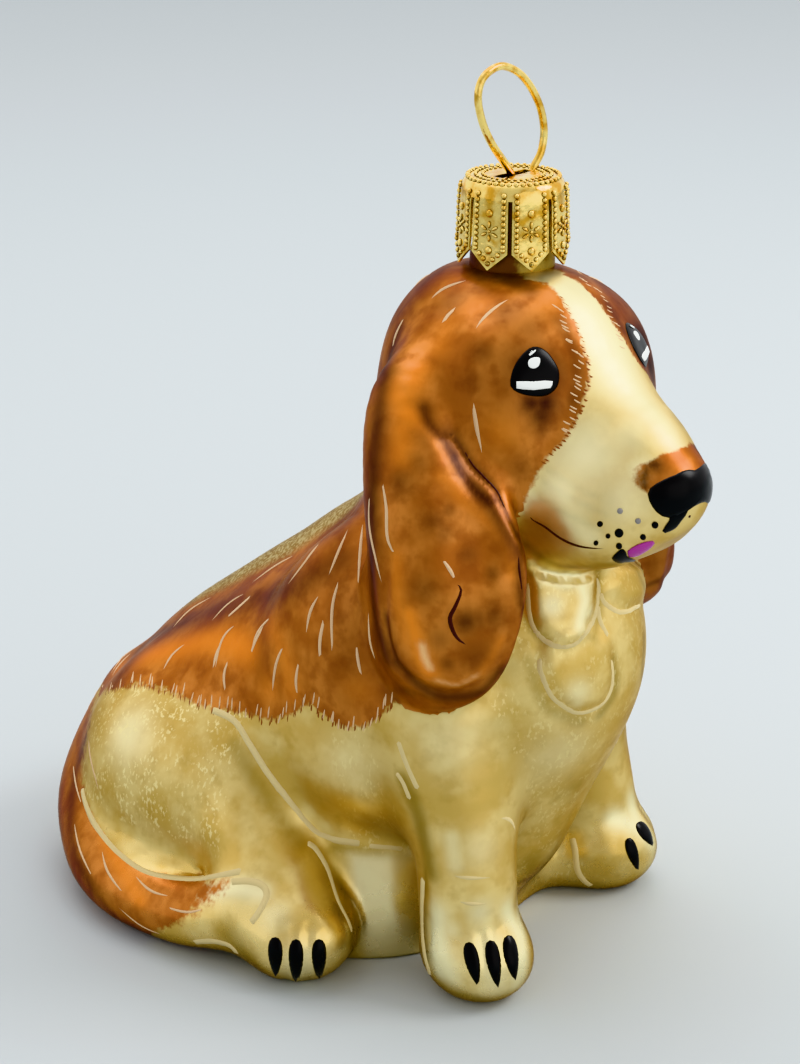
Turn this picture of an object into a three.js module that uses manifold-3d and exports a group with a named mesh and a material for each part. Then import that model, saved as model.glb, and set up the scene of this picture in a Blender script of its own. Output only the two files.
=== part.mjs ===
// A silvered and lacquered glass ornament: a sitting basset hound under a stamped crown cap with a wire
// loop.
// Millimetres, +Z up. The hound faces -Y, its right side is -X, and it sits on the floor at z = 0.
import * as THREE from 'three';
import { mergeVertices } from 'three/addons/utils/BufferGeometryUtils.js';
import Module from 'manifold-3d';

const wasm = await Module();
wasm.setup();

// Driving dimensions
const GAP = 0.3;

// The cells that the skin is drawn in, and the block of space that they fill
const BODY_CELL = 2.6;
const HEAD_CELL = 2.4;
const SPACE_X = [-34.5, 34.5];
const SPACE_Y = [-46.5, 49.5];
const BODY_Z = [-1.7, 34.3];
const HEAD_TOP = 84.6;
const FLAT_TOLERANCE = 0.05;
const FLOOR_ROUNDING = 0.8;

const HEAD_TURN = -10;
const HEAD_PIVOT = [0, -8, 0];
const CROWN_LEVEL = 82.25;
const LEFT_EAR_BACK = 4.2;
const LEFT_FORELEG_IN = 1.2;
const LEFT_FORELEG_BACK = 1.2;

const BOTTLE_AXIS = [0, -15];
const BOTTLE_NECK_RADIUS = 4.4;
const BOTTLE_COLLAR_RADIUS = 5.2;
const BOTTLE_COLLAR_TOP = 83.6;
const BOTTLE_NECK_FOOT = 78;
const BOTTLE_BORE = [3.4, 5];

const CAP_TOP = 92.3;
const CAP_TIP = 82.6;
const CAP_RIM_RADIUS = 5.4;
const CAP_WAIST_RADIUS = 5.95;
const CAP_HEM_RADIUS = 6.5;
const CAP_WALL = 0.6;
const CAP_TABS = 8;
const TAB_GAP = 0.75;
const TAB_POINT = 1.9;
const TAB_GAP_TOP = 89.6;

const WIRE_RADIUS = 0.43;
const WIRE_SIDES = 8;
const LOOP_RADIUS = 5.7;
const LOOP_CENTRE = 98.8;
const LOOP_LEAN = 5;
const LEG_SPREAD = 1.6;
const SLOT = [5.2, 1.7];

// Outlines in Y and Z of the blocks that part the ears and legs from the rest, and how far from the middle
// plane each block begins
const BLOCK_REACH = 30;
const EAR_INNER = 14.2;
const EAR_OUTLINE = [
  [-14, 76.5], [-9.5, 68], [-10, 55], [-12.5, 42], [-20, 34.5],
  [-29, 37.5], [-34.5, 48], [-33.5, 57], [-27, 65.5], [-20, 73.5],
];
const FORELEG_INNER = 10.2;
const FORELEG_OUTLINE = [
  [-12, -3], [-10.5, 12], [-8.5, 24], [-11, 31], [-18, 33], [-26, 29], [-31, 20], [-33, 8], [-32, -3],
];
const HINDLEG_INNER = 13.2;
const HINDLEG_OUTLINE = [
  [31, -3], [33.5, 8], [32.5, 19], [26, 29], [15, 32], [5, 27], [-3, 17], [-9.5, 9], [-10.5, -3],
];

// The planes that part the head from the chest and the chest from the torso, and the block that stands for
// the half of space beyond such a plane
const NECK_PLANE = { point: [0, -24, 49.5], normal: [0, -12.5, 30] };
const WAIST_PLANE = { point: [0, 3.5, 30], normal: [0, -1, 0.12] };
const HALF_SPACE_SIZE = 200;

// The sleeve of space that parts the tail from the rest
const TAIL_MARGIN = 0.45;
const TAIL_GAP = 0.38;
const TAIL_CELL = 2.2;
const TAIL_SPACE = [[-34, 4], [-1, 46], [-3, 26]];

const LACQUER_BROWN = { color: 0xa4561c, roughness: 0.28, metalness: 0.25 };
const LACQUER_PALE = { color: 0xd9c88c, roughness: 0.3, metalness: 0.25 };
const GOLD = { color: 0xc99f45, roughness: 0.3, metalness: 1.0 };

const X = 0;
const Y = 1;
const Z = 2;
const radians = THREE.MathUtils.degToRad;

// The glass is one blown body: rounded masses that run into each other. Each mass is a function that
// gives the distance to its surface, negative inside, and a blend width where it joins the rest.

function turned(point, centre, turn) {
  const [x, y, z] = turn.map(radians);
  return new THREE.Vector3(point[X] - centre[X], point[Y] - centre[Y], point[Z] - centre[Z])
    .applyMatrix4(new THREE.Matrix4().makeRotationFromEuler(new THREE.Euler(x, y, z, 'ZYX')).transpose());
}

function ellipsoid(centre, radii, blend, turn = [0, 0, 0]) {
  const plain = turn.every((angle) => angle === 0);
  const distance = (p) => {
    const q = plain
      ? { x: p[X] - centre[X], y: p[Y] - centre[Y], z: p[Z] - centre[Z] }
      : turned(p, centre, turn);
    const [u, v, w] = [q.x / radii[X], q.y / radii[Y], q.z / radii[Z]];
    const size = Math.hypot(u, v, w);
    const slope = Math.hypot(u / radii[X], v / radii[Y], w / radii[Z]) + 1e-9;
    return (size * (size - 1)) / slope;
  };
  return { distance, blend };
}

// A rounded cord through stations of x, y, z and radius
function cord(stations, blend, stepsPerStation = 5) {
  const centres = new THREE.CatmullRomCurve3(stations.map(([x, y, z]) => new THREE.Vector3(x, y, z)));
  const radii = new THREE.CatmullRomCurve3(stations.map((station) => new THREE.Vector3(station[3], 0, 0)));
  centres.curveType = 'catmullrom';
  radii.curveType = 'catmullrom';
  const steps = (stations.length - 1) * stepsPerStation;
  const beads = Array.from({ length: steps + 1 }, (_, i) => {
    const { x, y, z } = centres.getPoint(i / steps);
    return [x, y, z, radii.getPoint(i / steps).x];
  });
  const distance = (p) => {
    let nearest = Infinity;
    for (let i = 0; i < steps; i += 1) {
      nearest = Math.min(nearest, taperedRod(p, beads[i], beads[i + 1]));
    }
    return nearest;
  };
  return { distance, blend };
}

function taperedRod(p, a, b) {
  const along = [b[X] - a[X], b[Y] - a[Y], b[Z] - a[Z]];
  const offset = [p[X] - a[X], p[Y] - a[Y], p[Z] - a[Z]];
  const dot = offset[X] * along[X] + offset[Y] * along[Y] + offset[Z] * along[Z];
  const t = THREE.MathUtils.clamp(dot / (along[X] ** 2 + along[Y] ** 2 + along[Z] ** 2), 0, 1);
  const [x, y, z] = [offset[X] - t * along[X], offset[Y] - t * along[Y], offset[Z] - t * along[Z]];
  return Math.hypot(x, y, z) - THREE.MathUtils.lerp(a[3], b[3], t);
}

function smoothMin(a, b, blend) {
  if (blend === 0) return Math.min(a, b);
  const overlap = Math.max(blend - Math.abs(a - b), 0) / blend;
  return Math.min(a, b) - overlap * overlap * blend * 0.25;
}

function smoothMax(a, b, blend) {
  return -smoothMin(-a, -b, blend);
}

const tailMass = cord([
  [-4, 37.6, 17, 4.9],
  [-13, 37.9, 8.6, 4.7],
  [-20.7, 31.6, 5.2, 4.5],
  [-25.6, 24, 4.3, 4.2],
  [-27.3, 15, 4.1, 3.9],
  [-27.4, 8.5, 5, 3.7],
  [-26.4, 5.5, 7, 3.2],
], 2);

function hindLegMasses(side) {
  return [
    ellipsoid([side * 12, 26, 13.5], [10, 11.5, 13.5], 5),
    ellipsoid([side * 17.5, 16, 15], [8, 15.5, 12], 4),
    cord([[side * 20, 7, 13, 6.5], [side * 22.5, 1, 8, 6], [side * 24, -1.5, 5, 5.6]], 3),
    ellipsoid([side * 24.6, -1.4, 5], [6.4, 7.2, 5.4], 2.5),
  ];
}

// The left foreleg stands a little further in and back than the right one, most of all at its top
function foreLegMasses(side) {
  const at = (x, y, z, radius, share) => (side < 0 ? [-x, y, z, radius]
    : [x - share * LEFT_FORELEG_IN, y + share * LEFT_FORELEG_BACK, z, radius]);
  const [pawX, pawY, pawZ] = at(16.8, -22.3, 4.6, 0, 1);
  return [
    cord([at(14.6, -15.6, 32, 7.3, 1.5), at(15.8, -19.2, 19, 6, 1.6), at(16.6, -20.6, 6.5, 5.6, 1)], 4.5),
    ellipsoid([pawX, pawY, pawZ], [5.9, 6.3, 5.3], 2.5),
  ];
}

function bodyMasses() {
  const torso = ellipsoid([0, 11.8, 25.5], [19.5, 39.6, 15.3], 0, [-38, 0, 0]);
  const rump = ellipsoid([0, 19.8, 13], [21.8, 19.6, 17], 8);
  const chest = ellipsoid([-0.6, -13, 36.8], [16.7, 19, 20.2], 8);
  const keel = ellipsoid([-0.5, -12.5, 20], [11.5, 13.5, 20], 8);
  const web = ellipsoid([-0.5, -1.5, 0], [20.6, 18.5, 34], 4);
  const neck = ellipsoid([0, -13.4, 56], [14.2, 14.2, 18], 6);
  const flanks = [-1, 1].flatMap((side) => [
    ellipsoid([side * 13.8, -4.5, 38], [7.8, 12.5, 16], 6),
    cord([[side * 11.3, -13, 25, 8.8], [side * 11.8, -4, 24.6, 9], [side * 11.3, 6, 25, 8.6]], 4),
  ]);
  const legs = [-1, 1].flatMap((side) => [...hindLegMasses(side), ...foreLegMasses(side)]);
  return [torso, rump, chest, keel, web, neck, ...flanks, ...legs, tailMass];
}

function earSetBack(side) {
  return side < 0 ? 0 : LEFT_EAR_BACK;
}

// The left ear hangs a little further back than the right one
function earMasses(side) {
  const back = earSetBack(side);
  return [
    cord([
      [side * 10, -14.5, 73, 4],
      [side * 14.5, -15 + back * 0.2, 69, 5.2],
      [side * 17, -17.9 + back * 0.5, 62, 6.2],
      [side * 17.8, -20.9 + back, 53, 7.1],
      [side * 17.6, -22 + back, 45, 6.9],
    ], 2.5),
    ellipsoid([side * 17, -22 + back, 50.5], [3.8, 11, 14], 3, [4, side * -9, side * -8]),
  ];
}

function headMasses() {
  const cranium = ellipsoid([0, -15, 67.5], [14, 14.3, 14.3], 5);
  const crown = ellipsoid([0, -14, 73.3], [10.5, 10.5, 8.5], 5);
  const forehead = ellipsoid([0, -21, 72], [9.5, 8.5, 9], 5);
  const muzzle = cord([[0, -26, 66, 8.5], [0, -33, 63, 7.4], [0, -37.4, 61, 5.4]], 5);
  const sides = [-1, 1].flatMap((side) => [
    ellipsoid([side * 4.6, -31, 59], [5.6, 8, 6.2], 4, [20, side * 8, 0]),
    ellipsoid([side * 9, -20, 65], [6, 8, 9], 4),
    ellipsoid([side * 8.3, -20, 71.5], [5.4, 6.8, 6.8], 4),
  ]);
  const jaw = ellipsoid([0, -28, 54.6], [7.5, 9, 4.1], 3, [-12, 0, 0]);
  const nose = ellipsoid([0, -39, 62], [4.6, 3.6, 3.8], 1.5);
  return [cranium, crown, forehead, muzzle, ...sides, jaw, nose, ...[-1, 1].flatMap(earMasses)];
}

// Head coordinates are the floor's, turned about an upright line through the neck
function intoHead(p) {
  const { x, y } = new THREE.Vector2(p[X], p[Y])
    .rotateAround(new THREE.Vector2(HEAD_PIVOT[X], HEAD_PIVOT[Y]), radians(-HEAD_TURN));
  return [x, y, p[Z]];
}

const BODY = bodyMasses();
const HEAD = headMasses();

function glassDistance(p) {
  let depth = Infinity;
  for (const mass of BODY) depth = smoothMin(depth, mass.distance(p), mass.blend);
  const inHead = intoHead(p);
  for (const mass of HEAD) depth = smoothMin(depth, mass.distance(inHead), mass.blend);
  depth = smoothMax(depth, p[Z] - CROWN_LEVEL, 1.2);
  return smoothMax(depth, -p[Z], FLOOR_ROUNDING);
}

function gridLines(from, to, cell) {
  const count = Math.ceil((to - from) / cell);
  return Array.from({ length: count + 1 }, (_, i) => from + (i * (to - from)) / count);
}

// The surface where the distance is zero: one point in each cell that the surface crosses, drawn onto
// the surface along its slope, and a pair of triangles round each grid edge that crosses it.
function skinOf(distance, lines) {
  const [nx, ny, nz] = lines.map((line) => line.length);
  const index = (i, j, k) => (i * ny + j) * nz + k;
  const depth = new Float64Array(nx * ny * nz);
  for (let i = 0; i < nx; i += 1) {
    for (let j = 0; j < ny; j += 1) {
      for (let k = 0; k < nz; k += 1) {
        depth[index(i, j, k)] = distance([lines[X][i], lines[Y][j], lines[Z][k]]);
      }
    }
  }

  const corners = [0, 1, 2, 3, 4, 5, 6, 7].map((n) => [n >> 2, (n >> 1) & 1, n & 1]);
  const edges = corners.flatMap((a) => [X, Y, Z].filter((axis) => a[axis] === 0).map((axis) => {
    const b = [...a];
    b[axis] = 1;
    return [a, b];
  }));
  const points = [];
  const pointOf = new Map();
  for (let i = 0; i < nx - 1; i += 1) {
    for (let j = 0; j < ny - 1; j += 1) {
      for (let k = 0; k < nz - 1; k += 1) {
        const crossings = [];
        for (const [a, b] of edges) {
          const da = depth[index(i + a[X], j + a[Y], k + a[Z])];
          const db = depth[index(i + b[X], j + b[Y], k + b[Z])];
          if (da < 0 !== db < 0) {
            const t = da / (da - db);
            const cell = [i, j, k];
            crossings.push([X, Y, Z].map((axis) => {
              const from = lines[axis][cell[axis] + a[axis]];
              const to = lines[axis][cell[axis] + b[axis]];
              return from + t * (to - from);
            }));
          }
        }
        if (crossings.length > 0) {
          const mean = [X, Y, Z].map((axis) => (
            crossings.reduce((sum, crossing) => sum + crossing[axis], 0) / crossings.length));
          pointOf.set(index(i, j, k), points.length);
          points.push(drawnOntoSurface(mean, distance));
        }
      }
    }
  }

  const triangles = [];
  const spread = (a, b) => Math.hypot(...[X, Y, Z].map((axis) => points[a][axis] - points[b][axis]));
  for (const axis of [X, Y, Z]) {
    const [u, v] = [(axis + 1) % 3, (axis + 2) % 3];
    const size = [nx, ny, nz];
    for (let i = 0; i < nx; i += 1) {
      for (let j = 0; j < ny; j += 1) {
        for (let k = 0; k < nz; k += 1) {
          const at = [i, j, k];
          const next = [i, j, k];
          next[axis] += 1;
          const inner = at[u] > 0 && at[v] > 0 && at[u] < size[u] - 1 && at[v] < size[v] - 1;
          if (next[axis] < size[axis] && inner) {
            const inside = depth[index(...at)] < 0;
            if (inside !== depth[index(...next)] < 0) {
              const ring = [[1, 1], [0, 1], [0, 0], [1, 0]].map(([du, dv]) => {
                const cell = [...at];
                cell[u] -= du;
                cell[v] -= dv;
                return pointOf.get(index(...cell));
              });
              if (!inside) ring.reverse();
              const [a, b, c, d] = ring;
              triangles.push(...(spread(a, c) < spread(b, d) ? [a, b, c, a, c, d] : [a, b, d, b, c, d]));
            }
          }
        }
      }
    }
  }
  return new wasm.Manifold(new wasm.Mesh({
    numProp: 3,
    vertProperties: new Float32Array(points.flat()),
    triVerts: new Uint32Array(triangles),
  }));
}

function drawnOntoSurface(point, distance) {
  const probe = 0.05;
  let p = point;
  for (let pass = 0; pass < 3; pass += 1) {
    const depth = distance(p);
    const slope = [X, Y, Z].map((axis) => {
      const ahead = [...p];
      ahead[axis] += probe;
      return (distance(ahead) - depth) / probe;
    });
    const steepness = Math.max(slope[X] ** 2 + slope[Y] ** 2 + slope[Z] ** 2, 0.25);
    const step = THREE.MathUtils.clamp(depth / steepness, -0.4, 0.4);
    p = p.map((value, axis) => value - step * slope[axis]);
  }
  return p;
}

// Solids from three.js geometry, and back
function solid(geometry) {
  const bare = geometry.index ? geometry.toNonIndexed() : geometry.clone();
  bare.deleteAttribute('normal');
  bare.deleteAttribute('uv');
  const merged = mergeVertices(bare, 1e-4);
  return new wasm.Manifold(new wasm.Mesh({
    numProp: 3,
    vertProperties: new Float32Array(merged.attributes.position.array),
    triVerts: new Uint32Array(merged.index.array),
  }));
}

function largestPiece(manifold) {
  return manifold.decompose().reduce((best, piece) => (piece.volume() > best.volume() ? piece : best));
}

function meshOf(name, manifold, look, shift) {
  const { vertProperties, triVerts } = largestPiece(manifold).simplify(FLAT_TOLERANCE).getMesh();
  const geometry = new THREE.BufferGeometry();
  geometry.setAttribute('position', new THREE.BufferAttribute(new Float32Array(vertProperties), 3));
  geometry.setIndex(new THREE.BufferAttribute(new Uint32Array(triVerts), 1));
  const flat = geometry.toNonIndexed();
  flat.computeVertexNormals();
  const mesh = new THREE.Mesh(flat, new THREE.MeshStandardMaterial(look));
  mesh.name = name;
  mesh.position.copy(shift);
  return mesh;
}

// A block that reaches outwards from an upright plane beside the body. Its outline lies in Y and Z.
function sideBlock(side, inner, outline, turn = 0) {
  const shape = new THREE.Shape(new THREE.SplineCurve([...outline, outline[0]].map(([y, z]) => (
    new THREE.Vector2(y, z)))).getPoints(outline.length * 4).slice(0, -1));
  const block = new THREE.ExtrudeGeometry(shape, { depth: BLOCK_REACH, bevelEnabled: false });
  const basis = new THREE.Matrix4().makeBasis(
    new THREE.Vector3(0, 1, 0), new THREE.Vector3(0, 0, 1), new THREE.Vector3(1, 0, 0));
  block.applyMatrix4(basis);
  block.translate(side < 0 ? -inner - BLOCK_REACH : inner, 0, 0);
  block.translate(-HEAD_PIVOT[X], -HEAD_PIVOT[Y], 0);
  block.rotateZ(radians(turn));
  block.translate(HEAD_PIVOT[X], HEAD_PIVOT[Y], 0);
  return solid(block);
}

// The same outline moved outwards by the parting gap
function widened(outline, gap) {
  const middle = outline.reduce(
    (sum, [y, z]) => [sum[0] + y / outline.length, sum[1] + z / outline.length], [0, 0]);
  return outline.map(([y, z], i) => {
    const before = outline[(i + outline.length - 1) % outline.length];
    const after = outline[(i + 1) % outline.length];
    const [dy, dz] = [after[0] - before[0], after[1] - before[1]];
    const length = Math.hypot(dy, dz);
    const normal = [dz / length, -dy / length];
    const outward = normal[0] * (y - middle[0]) + normal[1] * (z - middle[1]) > 0 ? 1 : -1;
    return [y + outward * gap * normal[0], z + outward * gap * normal[1]];
  });
}

// Half of space on one side of a tilted plane, as a large block
function halfSpace(point, normal, shift) {
  const block = new THREE.BoxGeometry(HALF_SPACE_SIZE, HALF_SPACE_SIZE, HALF_SPACE_SIZE);
  block.translate(0, 0, HALF_SPACE_SIZE / 2 + shift);
  block.applyQuaternion(new THREE.Quaternion()
    .setFromUnitVectors(new THREE.Vector3(0, 0, 1), new THREE.Vector3(...normal).normalize()));
  block.translate(...point);
  return solid(block);
}

function partedBy(rest, region, widerRegion) {
  return [rest.intersect(region), rest.subtract(widerRegion)];
}

function glassPieces() {
  const skin = skinOf(glassDistance, [
    gridLines(...SPACE_X, BODY_CELL), gridLines(...SPACE_Y, BODY_CELL),
    [...gridLines(...BODY_Z, BODY_CELL), ...gridLines(BODY_Z[1], HEAD_TOP, HEAD_CELL).slice(1)],
  ]);
  const mouth = CAP_TOP - CAP_WALL - GAP;
  const [boreRadius, boreDepth] = BOTTLE_BORE;
  const neckProfile = [
    [0, BOTTLE_NECK_FOOT], [BOTTLE_COLLAR_RADIUS, BOTTLE_NECK_FOOT],
    [BOTTLE_COLLAR_RADIUS, BOTTLE_COLLAR_TOP], [BOTTLE_NECK_RADIUS, BOTTLE_COLLAR_TOP + 1],
    [BOTTLE_NECK_RADIUS, mouth], [boreRadius, mouth], [boreRadius, mouth - boreDepth], [0, mouth - boreDepth],
  ];
  const bottleNeck = new THREE.LatheGeometry(neckProfile.map(([r, z]) => new THREE.Vector2(r, z)), 28);
  bottleNeck.rotateX(Math.PI / 2);
  bottleNeck.translate(...BOTTLE_AXIS, 0);

  let rest = skin.add(solid(bottleNeck));
  const pieces = {};
  const tailLines = TAIL_SPACE.map((range) => gridLines(...range, TAIL_CELL));
  [pieces.tail, rest] = partedBy(
    rest,
    skinOf((p) => tailMass.distance(p) - TAIL_MARGIN, tailLines),
    skinOf((p) => tailMass.distance(p) - TAIL_MARGIN - TAIL_GAP, tailLines),
  );
  for (const [name, side] of [['right', -1], ['left', 1]]) {
    const ear = EAR_OUTLINE.map(([y, z]) => [y + earSetBack(side), z]);
    [pieces[`ear_${name}`], rest] = partedBy(
      rest,
      sideBlock(side, EAR_INNER, ear, HEAD_TURN),
      sideBlock(side, EAR_INNER - GAP, widened(ear, GAP), HEAD_TURN),
    );
    [pieces[`foreleg_${name}`], rest] = partedBy(
      rest,
      sideBlock(side, FORELEG_INNER, FORELEG_OUTLINE),
      sideBlock(side, FORELEG_INNER - GAP, widened(FORELEG_OUTLINE, GAP)),
    );
    [pieces[`hindleg_${name}`], rest] = partedBy(
      rest,
      sideBlock(side, HINDLEG_INNER, HINDLEG_OUTLINE),
      sideBlock(side, HINDLEG_INNER - GAP, widened(HINDLEG_OUTLINE, GAP)),
    );
  }
  const neck = [NECK_PLANE.point, NECK_PLANE.normal];
  [pieces.head, rest] = partedBy(rest, halfSpace(...neck, 0), halfSpace(...neck, -GAP));
  const waist = [WAIST_PLANE.point, WAIST_PLANE.normal];
  [pieces.chest, pieces.torso] = partedBy(rest, halfSpace(...waist, 0), halfSpace(...waist, -GAP));
  return pieces;
}

// The stamped cap: a thin cup with a slotted top, parted into pointed tabs that spread a little at the hem
function capPiece() {
  const outer = [
    [0, CAP_TOP], [CAP_RIM_RADIUS - 0.5, CAP_TOP], [CAP_RIM_RADIUS, CAP_TOP - 0.5],
    [CAP_WAIST_RADIUS - 0.1, CAP_TOP - 1.3], [CAP_WAIST_RADIUS, CAP_TOP - 2.5],
    [CAP_WAIST_RADIUS + 0.1, CAP_TIP + 4], [CAP_HEM_RADIUS, CAP_TIP],
  ];
  const inner = outer.slice(2).reverse().map(([r, z], i, list) => (
    i === list.length - 1 ? [r - CAP_WALL, CAP_TOP - CAP_WALL] : [r - CAP_WALL, z]));
  const profile = [[0, CAP_TOP - CAP_WALL], ...inner.reverse(), ...outer.slice().reverse()];
  const cup = new THREE.LatheGeometry(profile.map(([r, z]) => new THREE.Vector2(r, z)), 40);
  cup.rotateX(Math.PI / 2);
  let cap = solid(cup);

  const notch = new THREE.Shape();
  const [half, tip] = [TAB_GAP / 2, (CAP_HEM_RADIUS * Math.PI) / CAP_TABS + 0.2];
  notch.moveTo(-half, TAB_GAP_TOP);
  notch.lineTo(-half, CAP_TIP + TAB_POINT);
  notch.lineTo(-tip, CAP_TIP - 0.1);
  notch.lineTo(tip, CAP_TIP - 0.1);
  notch.lineTo(half, CAP_TIP + TAB_POINT);
  notch.lineTo(half, TAB_GAP_TOP);
  for (let tab = 0; tab < CAP_TABS; tab += 1) {
    const cut = new THREE.ExtrudeGeometry(notch, { depth: 6, bevelEnabled: false });
    cut.translate(0, 0, 3.5);
    cut.rotateX(Math.PI / 2);
    cut.rotateZ(radians(HEAD_TURN) + (tab * 2 * Math.PI) / CAP_TABS);
    cap = cap.subtract(solid(cut));
  }
  const slot = new THREE.BoxGeometry(...SLOT, 4);
  slot.rotateZ(radians(HEAD_TURN));
  slot.translate(0, 0, CAP_TOP);
  return cap.subtract(solid(slot)).translate(...BOTTLE_AXIS, 0);
}

// The wire loop: most of a circle that closes onto two legs, which drop through the slot
function hangerPiece() {
  const opening = Math.asin(LEG_SPREAD / LOOP_RADIUS) + radians(24);
  const arc = Array.from({ length: 15 }, (_, i) => {
    const angle = -Math.PI / 2 + opening + (i / 14) * (2 * Math.PI - 2 * opening);
    return [LOOP_RADIUS * Math.cos(angle), LOOP_CENTRE + LOOP_RADIUS * Math.sin(angle)];
  });
  const right = [[LEG_SPREAD, CAP_TOP - 2.2], [LEG_SPREAD, CAP_TOP - 0.2]];
  const left = right.map(([u, z]) => [-u, z]).reverse();
  const lean = radians(LOOP_LEAN);
  const route = [...right, ...arc, ...left].map(([u, z]) => {
    const height = z - CAP_TOP;
    const leaning = height > 0 ? lean : 0;
    return new THREE.Vector3(
      u * Math.cos(leaning) - height * Math.sin(leaning), 0,
      CAP_TOP + u * Math.sin(leaning) + height * Math.cos(leaning));
  });
  const path = new THREE.CatmullRomCurve3(route, false, 'centripetal');
  const section = new THREE.Shape(new THREE.EllipseCurve(0, 0, WIRE_RADIUS, WIRE_RADIUS)
    .getPoints(WIRE_SIDES).slice(0, -1));
  const wire = new THREE.ExtrudeGeometry(section, { steps: 44, extrudePath: path });
  wire.rotateZ(radians(HEAD_TURN));
  wire.translate(...BOTTLE_AXIS, 0);
  return solid(wire);
}

const manifolds = { ...glassPieces(), cap: capPiece(), hanger: hangerPiece() };
const looks = {
  head: LACQUER_BROWN, ear_right: LACQUER_BROWN, ear_left: LACQUER_BROWN, torso: LACQUER_BROWN,
  tail: LACQUER_BROWN, cap: GOLD, hanger: GOLD,
};

// The origin is under the middle of the whole, on the floor
const box = new THREE.Box3();
for (const manifold of Object.values(manifolds)) {
  const { min, max } = manifold.boundingBox();
  box.union(new THREE.Box3(new THREE.Vector3(...min), new THREE.Vector3(...max)));
}
const shift = new THREE.Vector3(-(box.min.x + box.max.x) / 2, -(box.min.y + box.max.y) / 2, -box.min.z);

const ornament = new THREE.Group();
ornament.name = 'basset_hound_ornament';
for (const [name, manifold] of Object.entries(manifolds)) {
  ornament.add(meshOf(name, manifold, looks[name] ?? LACQUER_PALE, shift));
}

export default ornament;
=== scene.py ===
# %% [markdown]
# A mouth-blown glass tree ornament in the shape of a sitting basset hound. The glass is silvered inside and
# painted outside with clear brown and champagne lacquers. A stamped, gold-coloured cap with a wire loop sits
# on its neck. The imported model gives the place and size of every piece, and this script gives the looks.

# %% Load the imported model
import math
import random
import bpy
import numpy as np
from mathutils import Matrix, Vector
from mathutils.bvhtree import BVHTree


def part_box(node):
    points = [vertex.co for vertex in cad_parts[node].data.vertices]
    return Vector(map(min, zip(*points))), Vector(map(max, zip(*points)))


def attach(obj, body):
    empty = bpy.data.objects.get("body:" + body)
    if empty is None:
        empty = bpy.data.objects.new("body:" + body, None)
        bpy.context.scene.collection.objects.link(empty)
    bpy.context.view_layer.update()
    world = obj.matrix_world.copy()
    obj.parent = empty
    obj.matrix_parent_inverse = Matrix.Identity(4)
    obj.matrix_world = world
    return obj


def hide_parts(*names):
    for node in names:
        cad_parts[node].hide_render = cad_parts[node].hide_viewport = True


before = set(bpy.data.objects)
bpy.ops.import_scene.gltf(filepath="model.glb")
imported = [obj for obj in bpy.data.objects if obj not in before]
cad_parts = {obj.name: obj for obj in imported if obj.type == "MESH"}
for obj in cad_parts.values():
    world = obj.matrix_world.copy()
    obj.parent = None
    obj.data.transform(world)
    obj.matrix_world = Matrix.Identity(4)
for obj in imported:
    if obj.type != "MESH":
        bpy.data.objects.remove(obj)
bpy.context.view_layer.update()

MM = 0.001
random.seed(7)
cap_low, cap_high = (np.array(corner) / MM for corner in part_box("cap"))

# %% [markdown]
# The hound was laid out on a drawing whose origin is under the neck. Its cap stands at 0, -15 there, so the
# packed cap tells how far the drawing moved when the model was centred on its box.

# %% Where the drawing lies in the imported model
CAP_ON_DRAWING = np.array([0.0, -15.0, 0.0])
cap_axis = (cap_low + cap_high) / 2
SHIFT = np.array([cap_axis[0], cap_axis[1], 0.0]) - CAP_ON_DRAWING
print("drawing moved by", SHIFT.round(2))


def only(*objects):
    for obj in bpy.context.selected_objects:
        obj.select_set(False)
    for obj in objects:
        obj.select_set(True)
    bpy.context.view_layer.objects.active = objects[0]


def join(objects, name):
    only(*objects)
    if len(objects) > 1:
        bpy.ops.object.join()
    piece = bpy.context.view_layer.objects.active
    piece.name = name
    piece.data.name = name
    bpy.ops.object.transform_apply(location=True, rotation=True, scale=True)
    return piece


def apply_modifier(piece, kind, **settings):
    only(piece)
    modifier = piece.modifiers.new(kind.lower(), kind)
    for name, value in settings.items():
        setattr(modifier, name, value)
    bpy.ops.object.modifier_apply(modifier=modifier.name)


def open_for_editing(piece):
    only(piece)
    bpy.ops.object.mode_set(mode="EDIT")
    bpy.ops.mesh.select_all(action="SELECT")


def points_of(piece):
    flat = np.empty(len(piece.data.vertices) * 3)
    piece.data.vertices.foreach_get("co", flat)
    return flat.reshape(-1, 3)


def normals_of(piece):
    flat = np.empty(len(piece.data.vertices) * 3, np.float32)
    piece.data.vertex_normals.foreach_get("vector", flat)
    return flat.reshape(-1, 3)


def place_points(piece, points):
    piece.data.vertices.foreach_set("co", np.asarray(points, float).ravel())
    piece.data.update()


def tree_of(piece):
    return BVHTree.FromPolygons(
        points_of(piece).tolist(), [list(face.vertices) for face in piece.data.polygons])


def finish_piece(piece, material, smooth_angle=None):
    """Moves a piece from the drawing's millimetres to its place in the model, and gives it its look."""
    place_points(piece, (points_of(piece) + SHIFT) * MM)
    piece.data.materials.clear()
    piece.data.materials.append(material)
    only(piece)
    if smooth_angle is None:
        bpy.ops.object.shade_smooth()
    else:
        bpy.ops.object.shade_smooth_by_angle(angle=math.radians(smooth_angle))
    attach(piece, "root")
    print(piece.name, len(piece.data.polygons), "faces")


# %% [markdown]
# The camera comes first, because much of the painting is placed by where it lies in the photograph. It stands
# about 30 cm away and 21 degrees up, 56 degrees round to the hound's right. Its focal length is given in
# pixels of the 800 by 1064 picture.

# %% Camera
PHOTO_WIDTH, PHOTO_HEIGHT = 800, 1064
PHOTO_PIXEL = 0.12
CAMERA_TURN, CAMERA_RISE = math.radians(-56.5), math.radians(20.7)
CAMERA_AIM = np.array([0.0, 0.0, 46.9])
CAMERA_DISTANCE = 299.0
FOCAL_PIXELS = 2500.0
SENSOR = 36.0

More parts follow.
